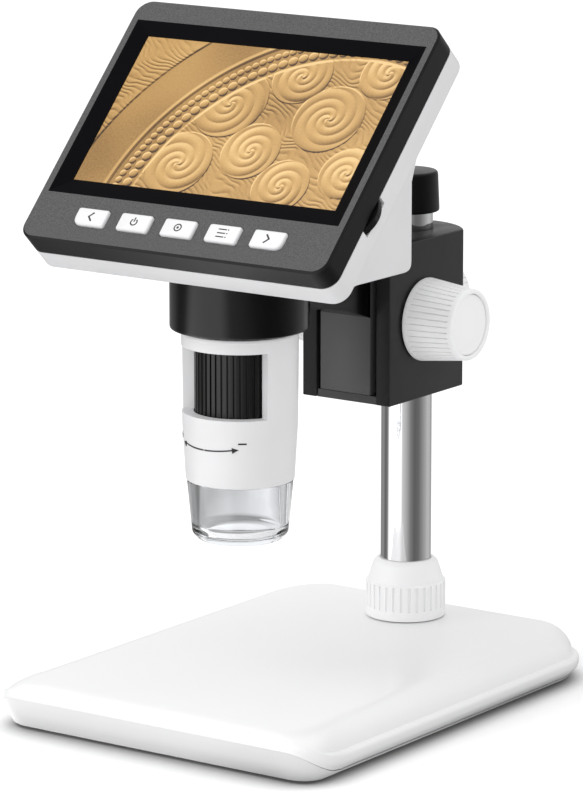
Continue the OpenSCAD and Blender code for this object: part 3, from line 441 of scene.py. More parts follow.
def shrink_to(point):
    """Makes the selected plane one point at a place in millimetres."""
    bpy.ops.mesh.merge(type="CENTER")
    bpy.ops.transform.translate(value=Vector(point) * MM)


def first_point(point):
    """A new piece that is one point, in edit mode, ready to be drawn out."""
    clear_selection()
    bpy.ops.mesh.primitive_plane_add(size=MM, location=(0, 0, 0))
    edit("VERT")
    shrink_to(point)
    return bpy.context.object


def draw_out(points):
    """Extrudes the selected point along a path in millimetres."""
    for a, b in zip(points, points[1:]):
        step = (Vector(b) - Vector(a)) * MM
        bpy.ops.mesh.extrude_region_move(TRANSFORM_OT_translate={"value": step})


def weld():
    bpy.ops.mesh.select_all(action="SELECT")
    bpy.ops.mesh.remove_doubles(threshold=0.002 * MM)


def face_outwards():
    bpy.ops.mesh.select_all(action="SELECT")
    bpy.ops.mesh.normals_make_consistent(inside=False)


def spin(steps, angle):
    bpy.ops.mesh.spin(steps=steps, angle=angle, center=(0, 0, 0), axis=(0, 0, 1))


def turned(outline, steps=96):
    """A piece spun about the upright axis from its half section of (radius, height) points."""
    path = [(r, 0, z) for r, z in outline]
    piece = first_point(path[0])
    draw_out(path)
    bpy.ops.mesh.select_all(action="SELECT")
    spin(steps, 2 * math.pi)
    weld()
    face_outwards()
    object_mode()
    return piece


def plug(r, low, high, y):
    """A plain cylinder through two levels, to cut a bore with."""
    return settle(turned([(0, low - 2), (r, low - 2), (r, high + 2), (0, high + 2)], 128), at(0, y, 0))


def sawn(outline, low, high, axis="Z"):
    """A plate with the given outline, drawn between two levels along an axis."""
    lift = {"Z": lambda a, b, h: (a, b, h), "X": lambda a, b, h: (h, a, b)}[axis]
    path = [lift(a, b, low) for a, b in outline]
    piece = first_point(path[0])
    draw_out(path)
    bpy.ops.mesh.select_all(action="SELECT")
    bpy.ops.mesh.edge_face_add()
    bpy.ops.mesh.extrude_region_move(
        TRANSFORM_OT_translate={"value": Vector(lift(0, 0, high - low)) * MM})
    face_outwards()
    object_mode()
    return piece


def mirrored(outline):
    """An outline on the other side of the middle, in the same turning sense."""
    return [(-x, y) for x, y in reversed(outline)]


def eased(points, radii, closed=False, arc=4):
    """A path whose corners are rounded, with one radius for each point."""
    count = len(points)
    result = []
    for i, here in enumerate(points):
        here = Vector(here)
        ends = not closed and i in (0, count - 1)
        if ends or radii[i] == 0:
            result.append(tuple(here))
            continue
        before = Vector(points[i - 1]) - here
        after = Vector(points[(i + 1) % count]) - here
        reach = min(radii[i], before.length * 0.48, after.length * 0.48)
        a = here + before.normalized() * reach
        b = here + after.normalized() * reach
        for k in range(arc + 1):
            t = k / arc
            result.append(tuple(a * (1 - t) ** 2 + here * 2 * t * (1 - t) + b * t ** 2))
    return result


def ring_section(points, radii):
    """A closed half section with rounded corners."""
    path = eased(points, radii, closed=True)
    return path + [path[0]]


def soften(piece, width, segments, angle):
    """Rounds the sharp edges of a finished piece."""
    take(piece)
    made = piece.modifiers.new("soft_edges", "BEVEL")
    made.width = width * MM
    made.segments = segments
    made.limit_method = "ANGLE"
    made.angle_limit = math.radians(angle)
    made.use_clamp_overlap = True
    bpy.ops.object.modifier_apply(modifier=made.name)
    return piece


def combine(piece, tool, how="UNION"):
    """Joins, cuts or crosses a piece with another, which is used up."""
    take(piece)
    made = piece.modifiers.new("joined", "BOOLEAN")
    made.object = tool
    made.operation = how
    made.solver = "EXACT"
    bpy.ops.object.modifier_apply(modifier=made.name)
    bpy.data.objects.remove(tool)


def cut(piece, *tools):
    for tool in tools:
        combine(piece, tool, "DIFFERENCE")


def at(x, y, z):
    return Matrix.Translation(Vector((x, y, z)) * MM)


def quarter_turn(axis, way=1):
    return Matrix.Rotation(way * QUARTER, 4, axis)


def settle(piece, matrix):
    """Moves a piece to its place and leaves its object at the origin."""
    take(piece)
    piece.matrix_world = matrix
    bpy.ops.object.transform_apply(location=True, rotation=True, scale=True)
    return piece


def dress(piece, name, material, body, *replaced, smooth=30, slot=None):
    """Names a finished piece, gives it its material and joins it to its body."""
    take(piece)
    piece.name = name
    piece.data.name = name
    if not piece.data.materials:
        piece.data.materials.append(material)
    bpy.ops.object.shade_smooth_by_angle(angle=math.radians(smooth))
    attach(piece, body)
    if replaced:
        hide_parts(*replaced)


def second_material(piece, first, second, test):
    """Gives the faces that pass the test the second material."""
    piece.data.materials.clear()
    piece.data.materials.append(first)
    piece.data.materials.append(second)
    for face in piece.data.polygons:
        face.material_index = 1 if test(face.center / MM, face.normal) else 0


def press_grooves(piece, count, per_groove, low, high, depth, share=1):
    """Sinks narrow grooves round an upright turned piece, between two heights."""
    pitch = 360 / count
    half = pitch * share / per_groove / 2

    def in_groove(middle, normal):
        if not low < middle.z < high or math.hypot(normal.x, normal.y) < 0.5:
            return False
        if normal.x * middle.x + normal.y * middle.y < 0:
            return False
        angle = math.degrees(math.atan2(middle.y, middle.x)) % pitch
        return abs(angle - pitch / 2) < half

    pick_faces(piece, in_groove)
    bpy.ops.mesh.extrude_region_shrink_fatten(
        TRANSFORM_OT_shrink_fatten={"value": -depth * MM})
    object_mode()


def ribbed(outline, count, low, high, depth, share=1, edge=0.12):
    """A turned piece with grooves round it and softened edges."""
    piece = turned(outline, count * 6)
    press_grooves(piece, count, 6, low, high, depth, share)
    return soften(piece, edge, 2, 40)


def mirrored_copy(piece):
    """The same piece on the other side, with its own mesh."""
    twin = piece.copy()
    twin.data = piece.data.copy()
    bpy.context.scene.collection.objects.link(twin)
    settle(twin, Matrix.Scale(-1, 4, (1, 0, 0)))
    edit("FACE")
    face_outwards()
    object_mode()
    return twin


def joined(*pieces):
    clear_selection()
    for piece in pieces:
        piece.select_set(True)
    bpy.context.view_layer.objects.active = pieces[0]
    if len(pieces) > 1:
        bpy.ops.object.join()
    return bpy.context.object


# ---- base

def base_plan(side, front, rear, inward=0.0):
    """Plan of the base at one level, from the middle of its front edge round to the right and back.
    Inward moves the centres of the front corners towards the size of the rear ones."""
    centre = front_corner.lerp(rear_corner, inward)
    quarter = [QUARTER * k / 12 for k in range(13)]
    right = [(centre.x * k / 4, -front) for k in range(4)]
    right += [(centre.x + (side - centre.x) * math.sin(a), -centre.y - (front - centre.y) * math.cos(a))
              for a in quarter]
    run = rear_corner.y + centre.y
    right += [(side, run * share - centre.y) for share in (0.02, 0.05, 0.09, 0.15, 0.3, 0.5, 0.75)]
    right += [(rear_corner.x + (side - rear_corner.x) * math.cos(a),
               rear_corner.y + (rear - rear_corner.y) * math.sin(a)) for a in quarter]
    right += [(rear_corner.x * k / 3, rear) for k in (2, 1, 0)]
    return right + mirrored(right[1:-1])


def base_loft(levels):
    """A closed piece drawn through levels of (side, its height, front, its height, rear, inward, and how far
    the sides spread towards the front corners)."""
    rise = [(max(0.0, -y - rear_corner.y) / (lip_reach - rear_corner.y)) ** 2.2
            for x, y in base_plan(base_side, lip_reach, base_rear)]
    piece = None
    for side, side_z, front, front_z, rear, inward, spread in levels:
        ring = [(x * (1 + spread / side * share ** 0.4), y, side_z + (front_z - side_z) * share)
                for (x, y), share in zip(base_plan(side, front, rear, inward), rise)]
        if piece is None:
            piece = first_point(ring[0])
        else:
            bpy.ops.mesh.select_all(action="DESELECT")
            bpy.ops.mesh.primitive_plane_add(size=MM, location=(0, 0, 0))
            shrink_to(ring[0])
        draw_out(ring)
        ends = [Vector(ring[0]), Vector(ring[-1])]
        pick_verts(lambda spot: min((spot - end).length for end in ends) < NEAR)
        bpy.ops.mesh.edge_face_add()
    bpy.ops.mesh.select_mode(type="EDGE")
    for k in range(len(levels) - 1):
        select_where("edges", lambda edge: {vert.index // len(rise) for vert in edge.verts} in ({k}, {k + 1}))
        bpy.ops.mesh.bridge_edge_loops()
    bpy.ops.mesh.select_all(action="SELECT")
    bpy.ops.mesh.fill_holes(sides=0)
    face_outwards()
    object_mode()
    return piece


def make_cover():
    """The cover: from the seam over the rounded side band, a soft crease and the roll to the flat top."""
    inner_side, inner_z = base_side - 5.5, rim_z + 1
    levels = [(inner_side, inner_z, inner_side + 20, inner_z, inner_side + 20, 0, 0),
              (seam_side - 0.8, seam_side_z + 0.3, lip_reach - 1, lip_z + 0.2, seam_side + 19.2, 0, 1.8)]
    radii = [0, 2.6, 1.4, 0]
    band = eased([(seam_side, seam_side_z + seam_gap), (base_side, 4.6), (base_side, 7.6), (seam_side, rim_z)],
                 radii)
    lip = eased([(lip_reach - 0.05, lip_z + 0.01), (lip_reach - 0.3, 11.6), (lip_reach - 1.3, 12.7),
                 (lip_reach - 2.3, roll_z)], radii)
    for k, ((side, side_z), (front, front_z)) in enumerate(zip(band, lip)):
        levels.append((side, side_z, front, front_z, side + base_rear - base_side, 0,
                       min(base_side - side, 2.0 - 1.5 * k / (len(band) - 1))))
    steps = 10
    for k in range(1, steps + 1):
        a = QUARTER * k / steps
        in_by, up = 1 - math.cos(a), math.sin(a)
        levels.append((seam_side - 0.2 - 9.3 * in_by, rim_z + (base_top - rim_z) * up,
                       lip_reach - 2.4 - 4.1 * in_by, roll_z + (base_top - roll_z) * up,
                       base_rear - 2.1 - 3.5 * in_by, k / steps, 0.5 * (1 - k / steps)))
    dress(base_loft(levels), "cover_shell", base_white, "stand", "base_cover", slot="base_white", smooth=40)


def make_tray():
    """The tray: a low dish at the sides that rises at the front to the lip's edge."""
    front_foot = foot_side + 20.1
    levels = []
    for side, side_z, front, front_z, spread in (
            (foot_side - 0.4, base_foot, front_foot - 0.5, base_foot, 0),
            (foot_side, base_foot + 0.3, front_foot, base_foot + 0.3, 0),
            (foot_side + 0.5, base_foot + 0.75, (front_foot + lip_reach) / 2, (base_foot + lip_z) / 2, 1),
            (seam_side, seam_side_z - seam_gap, lip_reach - 0.05, lip_z - 0.01, 2),
            (seam_side - 0.8, seam_side_z - 0.3, lip_reach - 1, lip_z - 0.4, 1.8),
            (foot_side - 2, seam_side_z - 0.6, front_foot - 2.1, seam_side_z - 0.6, 0)):
        levels.append((side, side_z, front, front_z, side + base_rear - base_side, 0, spread))
    dress(base_loft(levels), "tray_shell", base_white, "stand", "base_tray", slot="base_white", smooth=40)


# ---- column

def make_column():
    piece = turned([(column_r, column_low.z), (column_r, 60), (column_r, 105), (column_r, column_high.z)], 128)
    settle(piece, at(0, column_y, 0))
    dress(piece, "chrome_column", chrome, "stand", "column_tube", slot="chrome")


def make_end_cap():
    low, high = end_cap_low.z, end_cap_high.z
    r = half_width(end_cap_low, end_cap_high)
    piece = turned(eased([(column_r + 0.05, low), (r, low), (r - 0.55, high - 0.2), (0, high)], [0, 0.7, 1.1, 0]))
    settle(piece, at(0, column_y, 0))
    dress(piece, "end_cap", cap_black, "stand", "column_end_cap", slot="black_satin")


def make_collar():
    """The collar nut: a flange, a ribbed band, a step and a cone round the column."""
    low, high = collar_low.z, collar_high.z
    r = half_width(collar_low, collar_high)
    bore, top_r = column_r + 0.1, column_r + 2.1
    rib_low, rib_high = low + 3.1, low + 11.2
    outline = eased([(bore, low), (r, low), (r, rib_low), (r, rib_high), (r - 0.7, rib_high + 0.3),
                     (r - 1.7, rib_high + 3.7), (top_r, high - 1.0), (top_r - 1.4, high), (bore, high)],
                    [0, 0.3, 0, 0.25, 0.2, 2.5, 1.0, 0.6, 0])
    piece = ribbed(outline, 32, rib_low - 0.1, rib_high - 0.3, 0.55, share=1.8)
    settle(piece, at(0, column_y, 0))
    dress(piece, "collar", knob_white, "collar", "collar_nut", slot="white_gloss", smooth=35)


# ---- focus block

def block_outline():
    """The block's plan with its bulging back and the front channel."""
    half = block_high.x
    front = block_low.y
    back_r = 19.7
    side_y = column_y + 7
    arc_y = block_high.y - back_r
    reach = math.asin(half / back_r)
    turns = [reach - 2 * reach * k / 14 for k in range(15)]
    arc = [(back_r * math.sin(a), arc_y + back_r * math.cos(a)) for a in turns]
    arc[0], arc[-1] = (half, side_y), (-half, side_y)
    tee = channel + 2.4
    tee_y = front + 7
    tee_back = tee_y + 5
    return [(channel, front), (half, front)] + arc + [
        (-half, front), (-channel, front), (-channel, tee_y), (-tee, tee_y), (-tee, tee_back),
        (tee, tee_back), (tee, tee_y), (channel, tee_y)]


def make_block():
    low, high = block_low.z, block_high.z
    piece = sawn(block_outline(), low, high)
    cut(piece, plug(column_r + 0.04, low, high, column_y))
    soften(piece, 0.35, 3, 40)
    # The block's top and front faces carry the duller copy of its black so that they render dark: painted shade, not
    # a finish of their own.
    second_material(piece, block_charcoal, block_polished,
                    lambda middle, normal: normal.z > 0.95 or normal.y < -0.95)
    dress(piece, "block", block_charcoal, "block", "block_housing", slot="charcoal_metal")


def make_carriage():
    front, rail, rear = carriage_low.y, block_low.y + 7.3, carriage_high.y
    half, tee = channel - 1.7, 13.2
    outline = [(-half, front), (half, front), (half, rail), (tee, rail), (tee, rear), (-tee, rear),
               (-tee, rail), (-half, rail)]
    piece = sawn(outline, carriage_low.z, carriage_high.z)
    soften(piece, 0.4, 3, 40)
    dress(piece, "carriage", carriage_grey, "carriage", "carriage_slide", slot="panel_grey")


def make_holder():
    """The arm, curved below and waisted in plan, run into the ring that holds the head."""
    half, waist, arm_depth, arch = 9.4, 8, 19.6, 7.4
    front_y = carriage_low.y
    end_y = lens_y + 16.5
    top = carriage_high.z - 0.4
    count = 14
    ys = [end_y + (front_y - end_y) * i / count for i in range(count + 1)]
    shares = [(y - end_y) / (front_y - end_y) for y in ys]
    under = [(y, top - arm_depth + arch * (1 - share ** 2)) for y, share in zip(ys, shares)]
    piece = sawn(under + [(front_y, top), (end_y, top)], -half, half, "X")
    take(piece)
    edit("FACE")
    for y in ys[1:-1]:
        bpy.ops.mesh.select_all(action="SELECT")
        bpy.ops.mesh.bisect(plane_co=(0, y * MM, 0), plane_no=(0, 1, 0))
    bpy.ops.mesh.select_mode(type="VERT")
    for y, share in zip(ys, shares):
        pick_verts(lambda spot: abs(spot.y - y) < NEAR)
        bpy.ops.transform.resize(value=((waist + 1.4 * share ** 3) / half, 1, 1), center_override=(0, y * MM, 0))
    object_mode()
    low_z, high_z = ring_low.z, ring_high.z
    ring = turned(ring_section([(ring_inner, low_z), (ring_r, low_z), (ring_r, high_z), (ring_inner, high_z)],
                               [0.3, 1.0, 1.2, 0.3]), 128)
    combine(piece, settle(ring, at(0, lens_y, 0)))
    cut(piece, plug(ring_inner, low_z, high_z, lens_y))
    soften(piece, 0.5, 3, 50)
    dress(piece, "holder", ring_black, "carriage", "holder_arm", slot="black_satin", smooth=40)


# ---- knobs

def put_on_shaft(piece, name, node):
    """Settles a piece on the right end of the focus shaft, and its mirror image on the left one."""
    settle(piece, at(knob_low.x, shaft_y, shaft_z) @ quarter_turn("Y"))
    for copy, side in ((piece, "right"), (mirrored_copy(piece), "left")):
        dress(copy, f"{name}_{side}", knob_white, "focus_knobs", f"{node}_{side}", slot="white_gloss")


def make_focus_knobs():
    """A tapered knob with narrow grooves, a plain rim at each end and a sunken disc."""
    length = knob_high.x - knob_low.x
    r_in, r_out = 13.0, 11.0
    disc_r, floor = 9.6, length - 1.6

    def taper(h):
        return r_in + (r_out - r_in) * h / length

    groove_low, groove_high = 1.7, length - 1.7
    outline = [(0, 0), (r_in, 0), (taper(groove_low), groove_low), (taper(groove_high), groove_high),
               (r_out, length), (disc_r, length), (disc_r, floor), (0, floor)]
    knob = ribbed(eased(outline, [0, 0.6, 0, 0, 0.7, 0.4, 0, 0]), 40, groove_low, groove_high, 0.5, edge=0.14)
    put_on_shaft(knob, "knob", "focus_knob")
    disc_rim, disc_low, disc_top = disc_r - 0.15, floor - 0.2, floor + 0.9
    disc = turned(eased([(0, disc_low), (disc_rim, disc_low), (disc_rim, disc_top), (0, disc_top)],
                        [0, 0, 0.35, 0]))
    put_on_shaft(disc, "disc", "knob_disc")


def make_lock_knob():
    length = lock_high.y - lock_low.y
    r = half_width(lock_low, lock_high)
    outline = eased([(0, 0), (r, 0), (r, 1.2), (r, length - 0.9), (r - 0.2, length), (0, length)],
                    [0, 0.4, 0, 0, 0.8, 0])
    piece = ribbed(outline, 30, 1.0, length - 0.8, 0.45)
    settle(piece, at(0, lock_low.y, (lock_low.z + lock_high.z) / 2) @ quarter_turn("X", -1))
    dress(piece, "lock", knob_white, "lock", "lock_knob", slot="white_gloss")


# ---- screen head

def head_plate(low, high):
    piece = bar((-head_w / 2, head_foot, low), (head_w / 2, head_top, high))
    return round_edges(piece, upright, head_corner, 8)


def key_outline(width, side, grow=0.0):
    """A key's plan; an end key has a fully rounded lower outer corner."""
    w, h = width / 2 + grow, key_h / 2 + grow
    small, big = 1.0 + grow, 5.4 + grow
    corners = [(-w, -h), (w, -h), (w, h), (-w, h)]
    radii = [big if side < 0 else small, big if side > 0 else small, small, small]
    return eased(corners, [min(r, 2 * h * 0.98) for r in radii], closed=True, arc=7)


def on_corner(p):
    """Whether a point of the head's outline lies on one of its rounded corners."""
    x = head_w / 2 - head_corner
    y_top, y_foot = head_top - head_corner, head_foot + head_corner
    if abs(p.x) < x - NEAR or y_foot + NEAR < p.y < y_top - NEAR:
        return False
    away = math.hypot(abs(p.x) - x, p.y - (y_top if p.y > 0 else y_foot))
    return away > head_corner - 0.3


def on_rim(a, b):
    """Whether an edge of the head's face lies on its outline."""
    sides = (lambda p: abs(p.x) > head_w / 2 - NEAR, lambda p: p.y > head_top - NEAR,
             lambda p: p.y < head_foot + NEAR, on_corner)
    return min(a.z, b.z) > face_n - NEAR and any(test(a) and test(b) for test in sides)


def make_bezel():
    piece = head_plate(seam_n + 0.15, face_n)
    pick_faces(piece, towards_viewer)
    bpy.ops.mesh.inset(thickness=0.7 * MM, depth=0)
    bpy.ops.mesh.select_mode(type="EDGE")
    pick_edges(on_rim)
    bpy.ops.transform.translate(value=(0, 0, -0.6 * MM))
    object_mode()
    x0, x1, y0, y1 = recess
    cut(piece, bar((x0, y0, seam_n + 2), (x1, y1, face_n + 2)))
    for x, width, side, _ in keys.values():
        cut(piece, settle(sawn(key_outline(width, side, 0.2), seam_n + 2, face_n + 2), at(x, key_y, 0)))
    second_material(piece, bezel_side, bezel_face,
                    lambda middle, normal: normal.z > 0.95 and middle.z > face_n - 0.05)
    settle(piece, head_frame)
    dress(piece, "bezel", bezel_face, "head", "front_bezel", slot="bezel_grey", smooth=40)


def make_screen_frame():
    """The sunken frame whose four sides slope from the face down to the picture."""
    x0, x1, y0, y1 = recess
    ledge, slope = 0.35, 4.0
    piece = bar((x0 + 0.05, y0 + 0.05, -0.3), (x1 - 0.05, y1 - 0.05, face_n - 0.1))
    pick_faces(piece, towards_viewer)
    bpy.ops.mesh.inset(thickness=ledge * MM, depth=0)
    bpy.ops.mesh.inset(thickness=slope * MM, depth=0)
    wide, tall = x1 - x0 - 8.8, y1 - y0 - 8.8
    middle = (0, (y0 + y1) / 2 * MM, 0)
    bpy.ops.transform.resize(value=((active[1] - active[0]) / wide, (active[3] - active[2]) / tall, 1),
                             center_override=middle)
    bpy.ops.transform.translate(value=(0, -(y0 + y1) / 2 * MM, (0.12 - face_n + 0.1) * MM))
    bpy.ops.mesh.extrude_region_move(TRANSFORM_OT_translate={"value": (0, 0, -0.2 * MM)})
    object_mode()
    settle(piece, head_frame)
    dress(piece, "sunken_frame", frame_black, "head", "screen_frame", slot="frame_black", smooth=20)


def make_picture():
    """The display: a thin sheet that carries the picture."""
    piece = bar((active[0], active[2], -0.8), (active[1], active[3], 0.0))
    pick_faces(piece, towards_viewer)
    bpy.ops.mesh.inset(thickness=0.2 * MM, depth=0)
    object_mode()
    places = piece.data.uv_layers.new(name="screen_mm")
    piece.data.uv_layers.active = places
    for loop in piece.data.loops:
        spot = piece.data.vertices[loop.vertex_index].co / MM
        places.data[loop.index].uv = (spot.x, spot.y)
    settle(piece, head_frame)
    dress(piece, "screen_picture", picture_material(), "head", "display_glass", slot="lcd", smooth=20)


def make_rear_shell():
    """The white rim and the wedge that holds the camera, as one moulding."""
    rim = head_plate(rear_n, seam_n - 0.1)
    round_edges(rim, lambda a, b: max(a.z, b.z) < rear_n + NEAR, 1.1, 4)
    settle(rim, head_frame)

    def plane_z(y, n):
        return screen_z + (n + (y - lens_y) * math.sin(tilt)) / math.cos(tilt)

    def plane_y(z, n):
        return lens_y + ((z - screen_z) * math.cos(tilt) - n) / math.sin(tilt)

    n = rear_n + 1.0
    outline = [(plane_y(wedge_z, n), wedge_z), (wedge_y, wedge_z), (wedge_y, plane_z(wedge_y, n))]
    wedge = sawn(eased(outline, [0, 3.2, 0], closed=True, arc=6), -wedge_w / 2, wedge_w / 2, "X")
    soften(wedge, 1.0, 4, 50)
    flare_w, flare_n = head_w - 2.4, rear_n - 6.5
    flare = bar((-flare_w / 2, head_foot - 4, flare_n), (flare_w / 2, head_top + 4, rear_n + 0.6))
    pick_faces(flare, lambda middle, normal: normal.z < -0.9)
    bpy.ops.transform.resize(value=((wedge_w - 0.4) / flare_w, 1, 1))
    settle(flare, head_frame)
    inside = sawn([(plane_y(wedge_z, n) + 1.5, wedge_z + 0.6), (wedge_y - 0.3, wedge_z + 0.6),
                   (wedge_y - 0.3, plane_z(wedge_y, n) - 0.6)], -head_w / 2, head_w / 2, "X")
    combine(flare, inside, "INTERSECT")
    flare.data.materials.clear()
    combine(rim, wedge)
    combine(rim, flare)
    slot = bar((head_w / 2 - 6, wheel_y - 6.2, seam_n - 3.1), (head_w / 2 + 2, wheel_y + 6.2, seam_n + 1))
    cut(rim, settle(slot, head_frame))
    dress(rim, "rear_housing", shell_white, "head", "rear_shell", slot="white_gloss", smooth=35)


def make_wheel():
    low, high = -8.4, -6.2
    r, stands_out = 9.0, 1.3
    outline = eased([(0, low), (r, low), (r, low + 0.4), (r, high - 0.4), (r, high), (0, high)],
                    [0, 0.35, 0, 0, 0.35, 0])
    piece = turned(outline, 60 * 4)
    press_grooves(piece, 60, 4, low + 0.1, high - 0.1, 0.25)
    settle(piece, head_frame @ at(head_w / 2 + stands_out - r, wheel_y, 0))
    dress(piece, "thumb_wheel", ribbed_black, "wheel", "brightness_wheel", slot="black_satin")


def make_keys():
    for name, (x, width, side, body) in keys.items():
        piece = sawn(key_outline(width, side), 0.2, face_n + 1.0)
        round_edges(piece, lambda a, b: min(a.z, b.z) > face_n + 0.9, 0.75, 4)
        settle(piece, head_frame @ at(x, key_y, 0))
        dress(piece, name + "_cap", key_white, body, name, slot="white_gloss", smooth=40)


def arc_strip(r_out, r_in, start, end, steps=20):
    """A bent bar's outline between two angles in degrees."""
    turn = [math.radians(start + (end - start) * k / steps) for k in range(steps + 1)]
    return [(r_out * math.cos(a), r_out * math.sin(a)) for a in turn] + [
        (r_in * math.cos(a), r_in * math.sin(a)) for a in reversed(turn)]


def make_key_marks():
    """The printed signs: back, power, confirm, list and next."""
    low, high = face_n + 0.9, face_n + 1.02
    chevron = [(-0.98, 0), (0.58, -1.68), (1.0, -1.34), (-0.26, 0), (1.0, 1.34), (0.58, 1.68)]
    signs = {
        "key_back": [sawn(chevron, low, high)],
        "key_power": [sawn(arc_strip(1.3, 0.86, 125, 415), low, high), bar((-0.21, 0.1, low), (0.21, 1.65, high))],
        "key_ok": [turned([(0.95, low), (1.36, low), (1.36, high), (0.95, high), (0.95, low)], 40),
                   turned([(0, low), (0.42, low), (0.42, high), (0, high)], 32)],
        "key_menu": [bar((x0, y - half, low), (x1, y + half, high))
                     for x0, x1, half in ((-1.8, 1.05, 0.2), (1.45, 1.87, 0.21)) for y in (-1.3, 0, 1.3)],
        "key_next": [sawn(mirrored(chevron), low, high)],
    }
    for name, pieces in signs.items():
        x, *_, body = keys[name]
        mark = settle(joined(*pieces), head_frame @ at(x, key_y, 0))
        dress(mark, name + "_mark", mark_ink, body, slot="black_satin")


# ---- lens barrel

def make_sleeve():
    low, high = sleeve_low.z, sleeve_high.z
    r = half_width(sleeve_low, sleeve_high)
    outline = ring_section([(sleeve_bore, low), (sleeve_foot_r, low), (sleeve_foot_r + 1, low + sleeve_foot_h),
                            (r - 0.2, high - 1.2), (r, high - 0.9), (r, high), (sleeve_bore, high)],
                           [0, 0.3, 3, 0, 0.1, 0.3, 0])
    piece = turned(outline, 144)
    sill, window_h = low + 20.8, 20.1
    half = math.radians(64)
    turns = [half * k / 8 for k in range(-8, 9)]
    fan = [(0, 0)] + [(30 * math.sin(a), -30 * math.cos(a)) for a in turns]
    cut(piece, sawn(fan, sill, sill + window_h))
    settle(piece, at(0, lens_y, 0))
    dress(piece, "sleeve", sleeve_white, "head", "lens_sleeve", slot="white_gloss", smooth=35)


def sleeve_wall(z):
    """Radius of the sleeve's outside at a height below the window."""
    return sleeve_foot_r + (z - sleeve_low.z) / sleeve_foot_h


def make_sleeve_marks():
    """The printed sign for the focus ring: a curved double arrow with a plus and a minus."""
    sign_turn = -54.67
    level = 88.3
    stroke = 0.22
    sag = 0.8
    start, end = -72.0, -4.0
    steps = 14
    r = sleeve_wall(level) + 0.05

    def dip(angle):
        middle = (start + end) / 2
        return level - sag * (1 - ((angle - middle) / (end - middle)) ** 2)

    def round_lens(angle):
        return at(0, lens_y, 0) @ Matrix.Rotation(math.radians(sign_turn + angle), 4, "Z")

    pieces = []
    for a, b in ((start, -39.2), (-38.0, end)):
        section = [(r - 0.1, 0, level - stroke), (r, 0, level - stroke), (r, 0, level + stroke),
                   (r - 0.1, 0, level + stroke)]
        strip = first_point(section[0])
        draw_out(section + section[:1])
        weld()
        bpy.ops.mesh.edge_face_add()
        spin(steps, math.radians(a - b))
        face_outwards()
        bpy.ops.mesh.select_mode(type="VERT")
        for k in range(steps + 1):
            here = (b - a) * k / steps
            pick_verts(lambda spot: abs(math.degrees(math.atan2(spot.y, spot.x)) - here) < 0.3)
            bpy.ops.transform.translate(value=(0, 0, (dip(a + here) - level) * MM))
        pieces.append(settle(strip, round_lens(a)))

    face_out = quarter_turn("Y") @ quarter_turn("Z")
    head = [(0, 0), (-2.0, 0.85), (-2.0, -0.85)]

    def put_on_wall(piece, angle, z, lean=0.0):
        lift = at(sleeve_wall(z) + 0.1, 0, z)
        settle(piece, round_lens(angle) @ lift @ face_out @ Matrix.Rotation(math.radians(lean), 4, "Z"))
        pieces.append(piece)

    put_on_wall(sawn(head, -0.3, 0.0), -1.0, level, 7)
    put_on_wall(sawn(mirrored(head), -0.3, 0.0), -75.5, level, -12)
    put_on_wall(bar((-1.25, -stroke, -0.3), (1.25, stroke, 0.0)), 2.8, 90.1)
    plus = joined(bar((-1.05, -stroke, -0.3), (1.05, stroke, 0.0)), bar((-stroke, -1.05, -0.3), (stroke, 1.05, 0.0)))
    put_on_wall(plus, -84, 89.9)
    dress(joined(*pieces), "focus_sign", mark_ink, "head", slot="black_satin")


def make_focus_ring():
    low, high = focus_low.z, focus_high.z
    bore, r = 10.05, half_width(focus_low, focus_high)
    outline = ring_section([(bore, low), (r, low), (r, low + 0.8), (r, high - 0.8), (r, high), (bore, high)],
                           [0, 0.3, 0, 0, 0.3, 0])
    piece = ribbed(outline, 44, low + 0.7, high - 0.7, 0.7, share=2.2)
    settle(piece, at(0, lens_y, 0))
    dress(piece, "ribbed_ring", ribbed_black, "focus_sleeve", "focus_ring", slot="black_satin")


def make_clear_cap():
    low, high = clear_low.z, clear_high.z
    seam = sleeve_low.z - 0.05
    outline = ring_section([(10.5, low), (12.5, low), (14.45, low + 1.9), (16.0, seam), (13.88, seam),
                            (13.88, high), (12.4, high), (12.4, low + 4.2), (10.5, low + 2.4)],
                           [0.3, 0.5, 0.8, 0.3, 0, 0.2, 0.2, 1.0, 0.4])
    piece = turned(outline, 128)
    settle(piece, at(0, lens_y, 0))
    dress(piece, "clear_nose", clear_plastic, "head", "clear_cap", slot="clear_plastic")


# ---- the picture on the screen

def strand(phase):
    """Round-backed strands with a sharp valley between them."""
    return abs((phase * 0.5).step("SINE"))


def from_centre(x, y, centre):
    """Both offsets from a centre, and the distance."""
    dx, dy = x - centre[0], y - centre[1]
    return dx, dy, (dx * dx + dy * dy).step("SQRT")


def scroll(x, y, centre, size, arms, pitch):
    """A domed scroll whose strands wind in to a round eye, the other way for negative arms."""
    dx, dy, r = from_centre(x, y, centre)
    angle = dy.step("ARCTAN2", dx) * arms
    winding = r.step("POWER", 0.75) * (2 * math.pi / pitch)
    lines = strand(angle + winding) * 0.75
    share = r / size
    dome = 2.6 - share * share * 1.7
    eye = smooth_step(size * 0.16, size * 0.05, r) * 0.5
    return (dome + lines + eye) * smooth_step(size, size * 0.93, r)


def bead_row(x, y, centre, radius, size, pitch):
    """Round beads strung along an arc."""
    dx, dy, r = from_centre(x, y, centre)
    along = dy.step("ARCTAN2", dx) * (radius / pitch)
    part = (along.step("FRACT") - 0.5) * pitch
    off = r - radius
    share = 1 - (part * part + off * off) / (size * size)
    return share.step("MAXIMUM", 0).step("SQRT") * (size * 0.9)


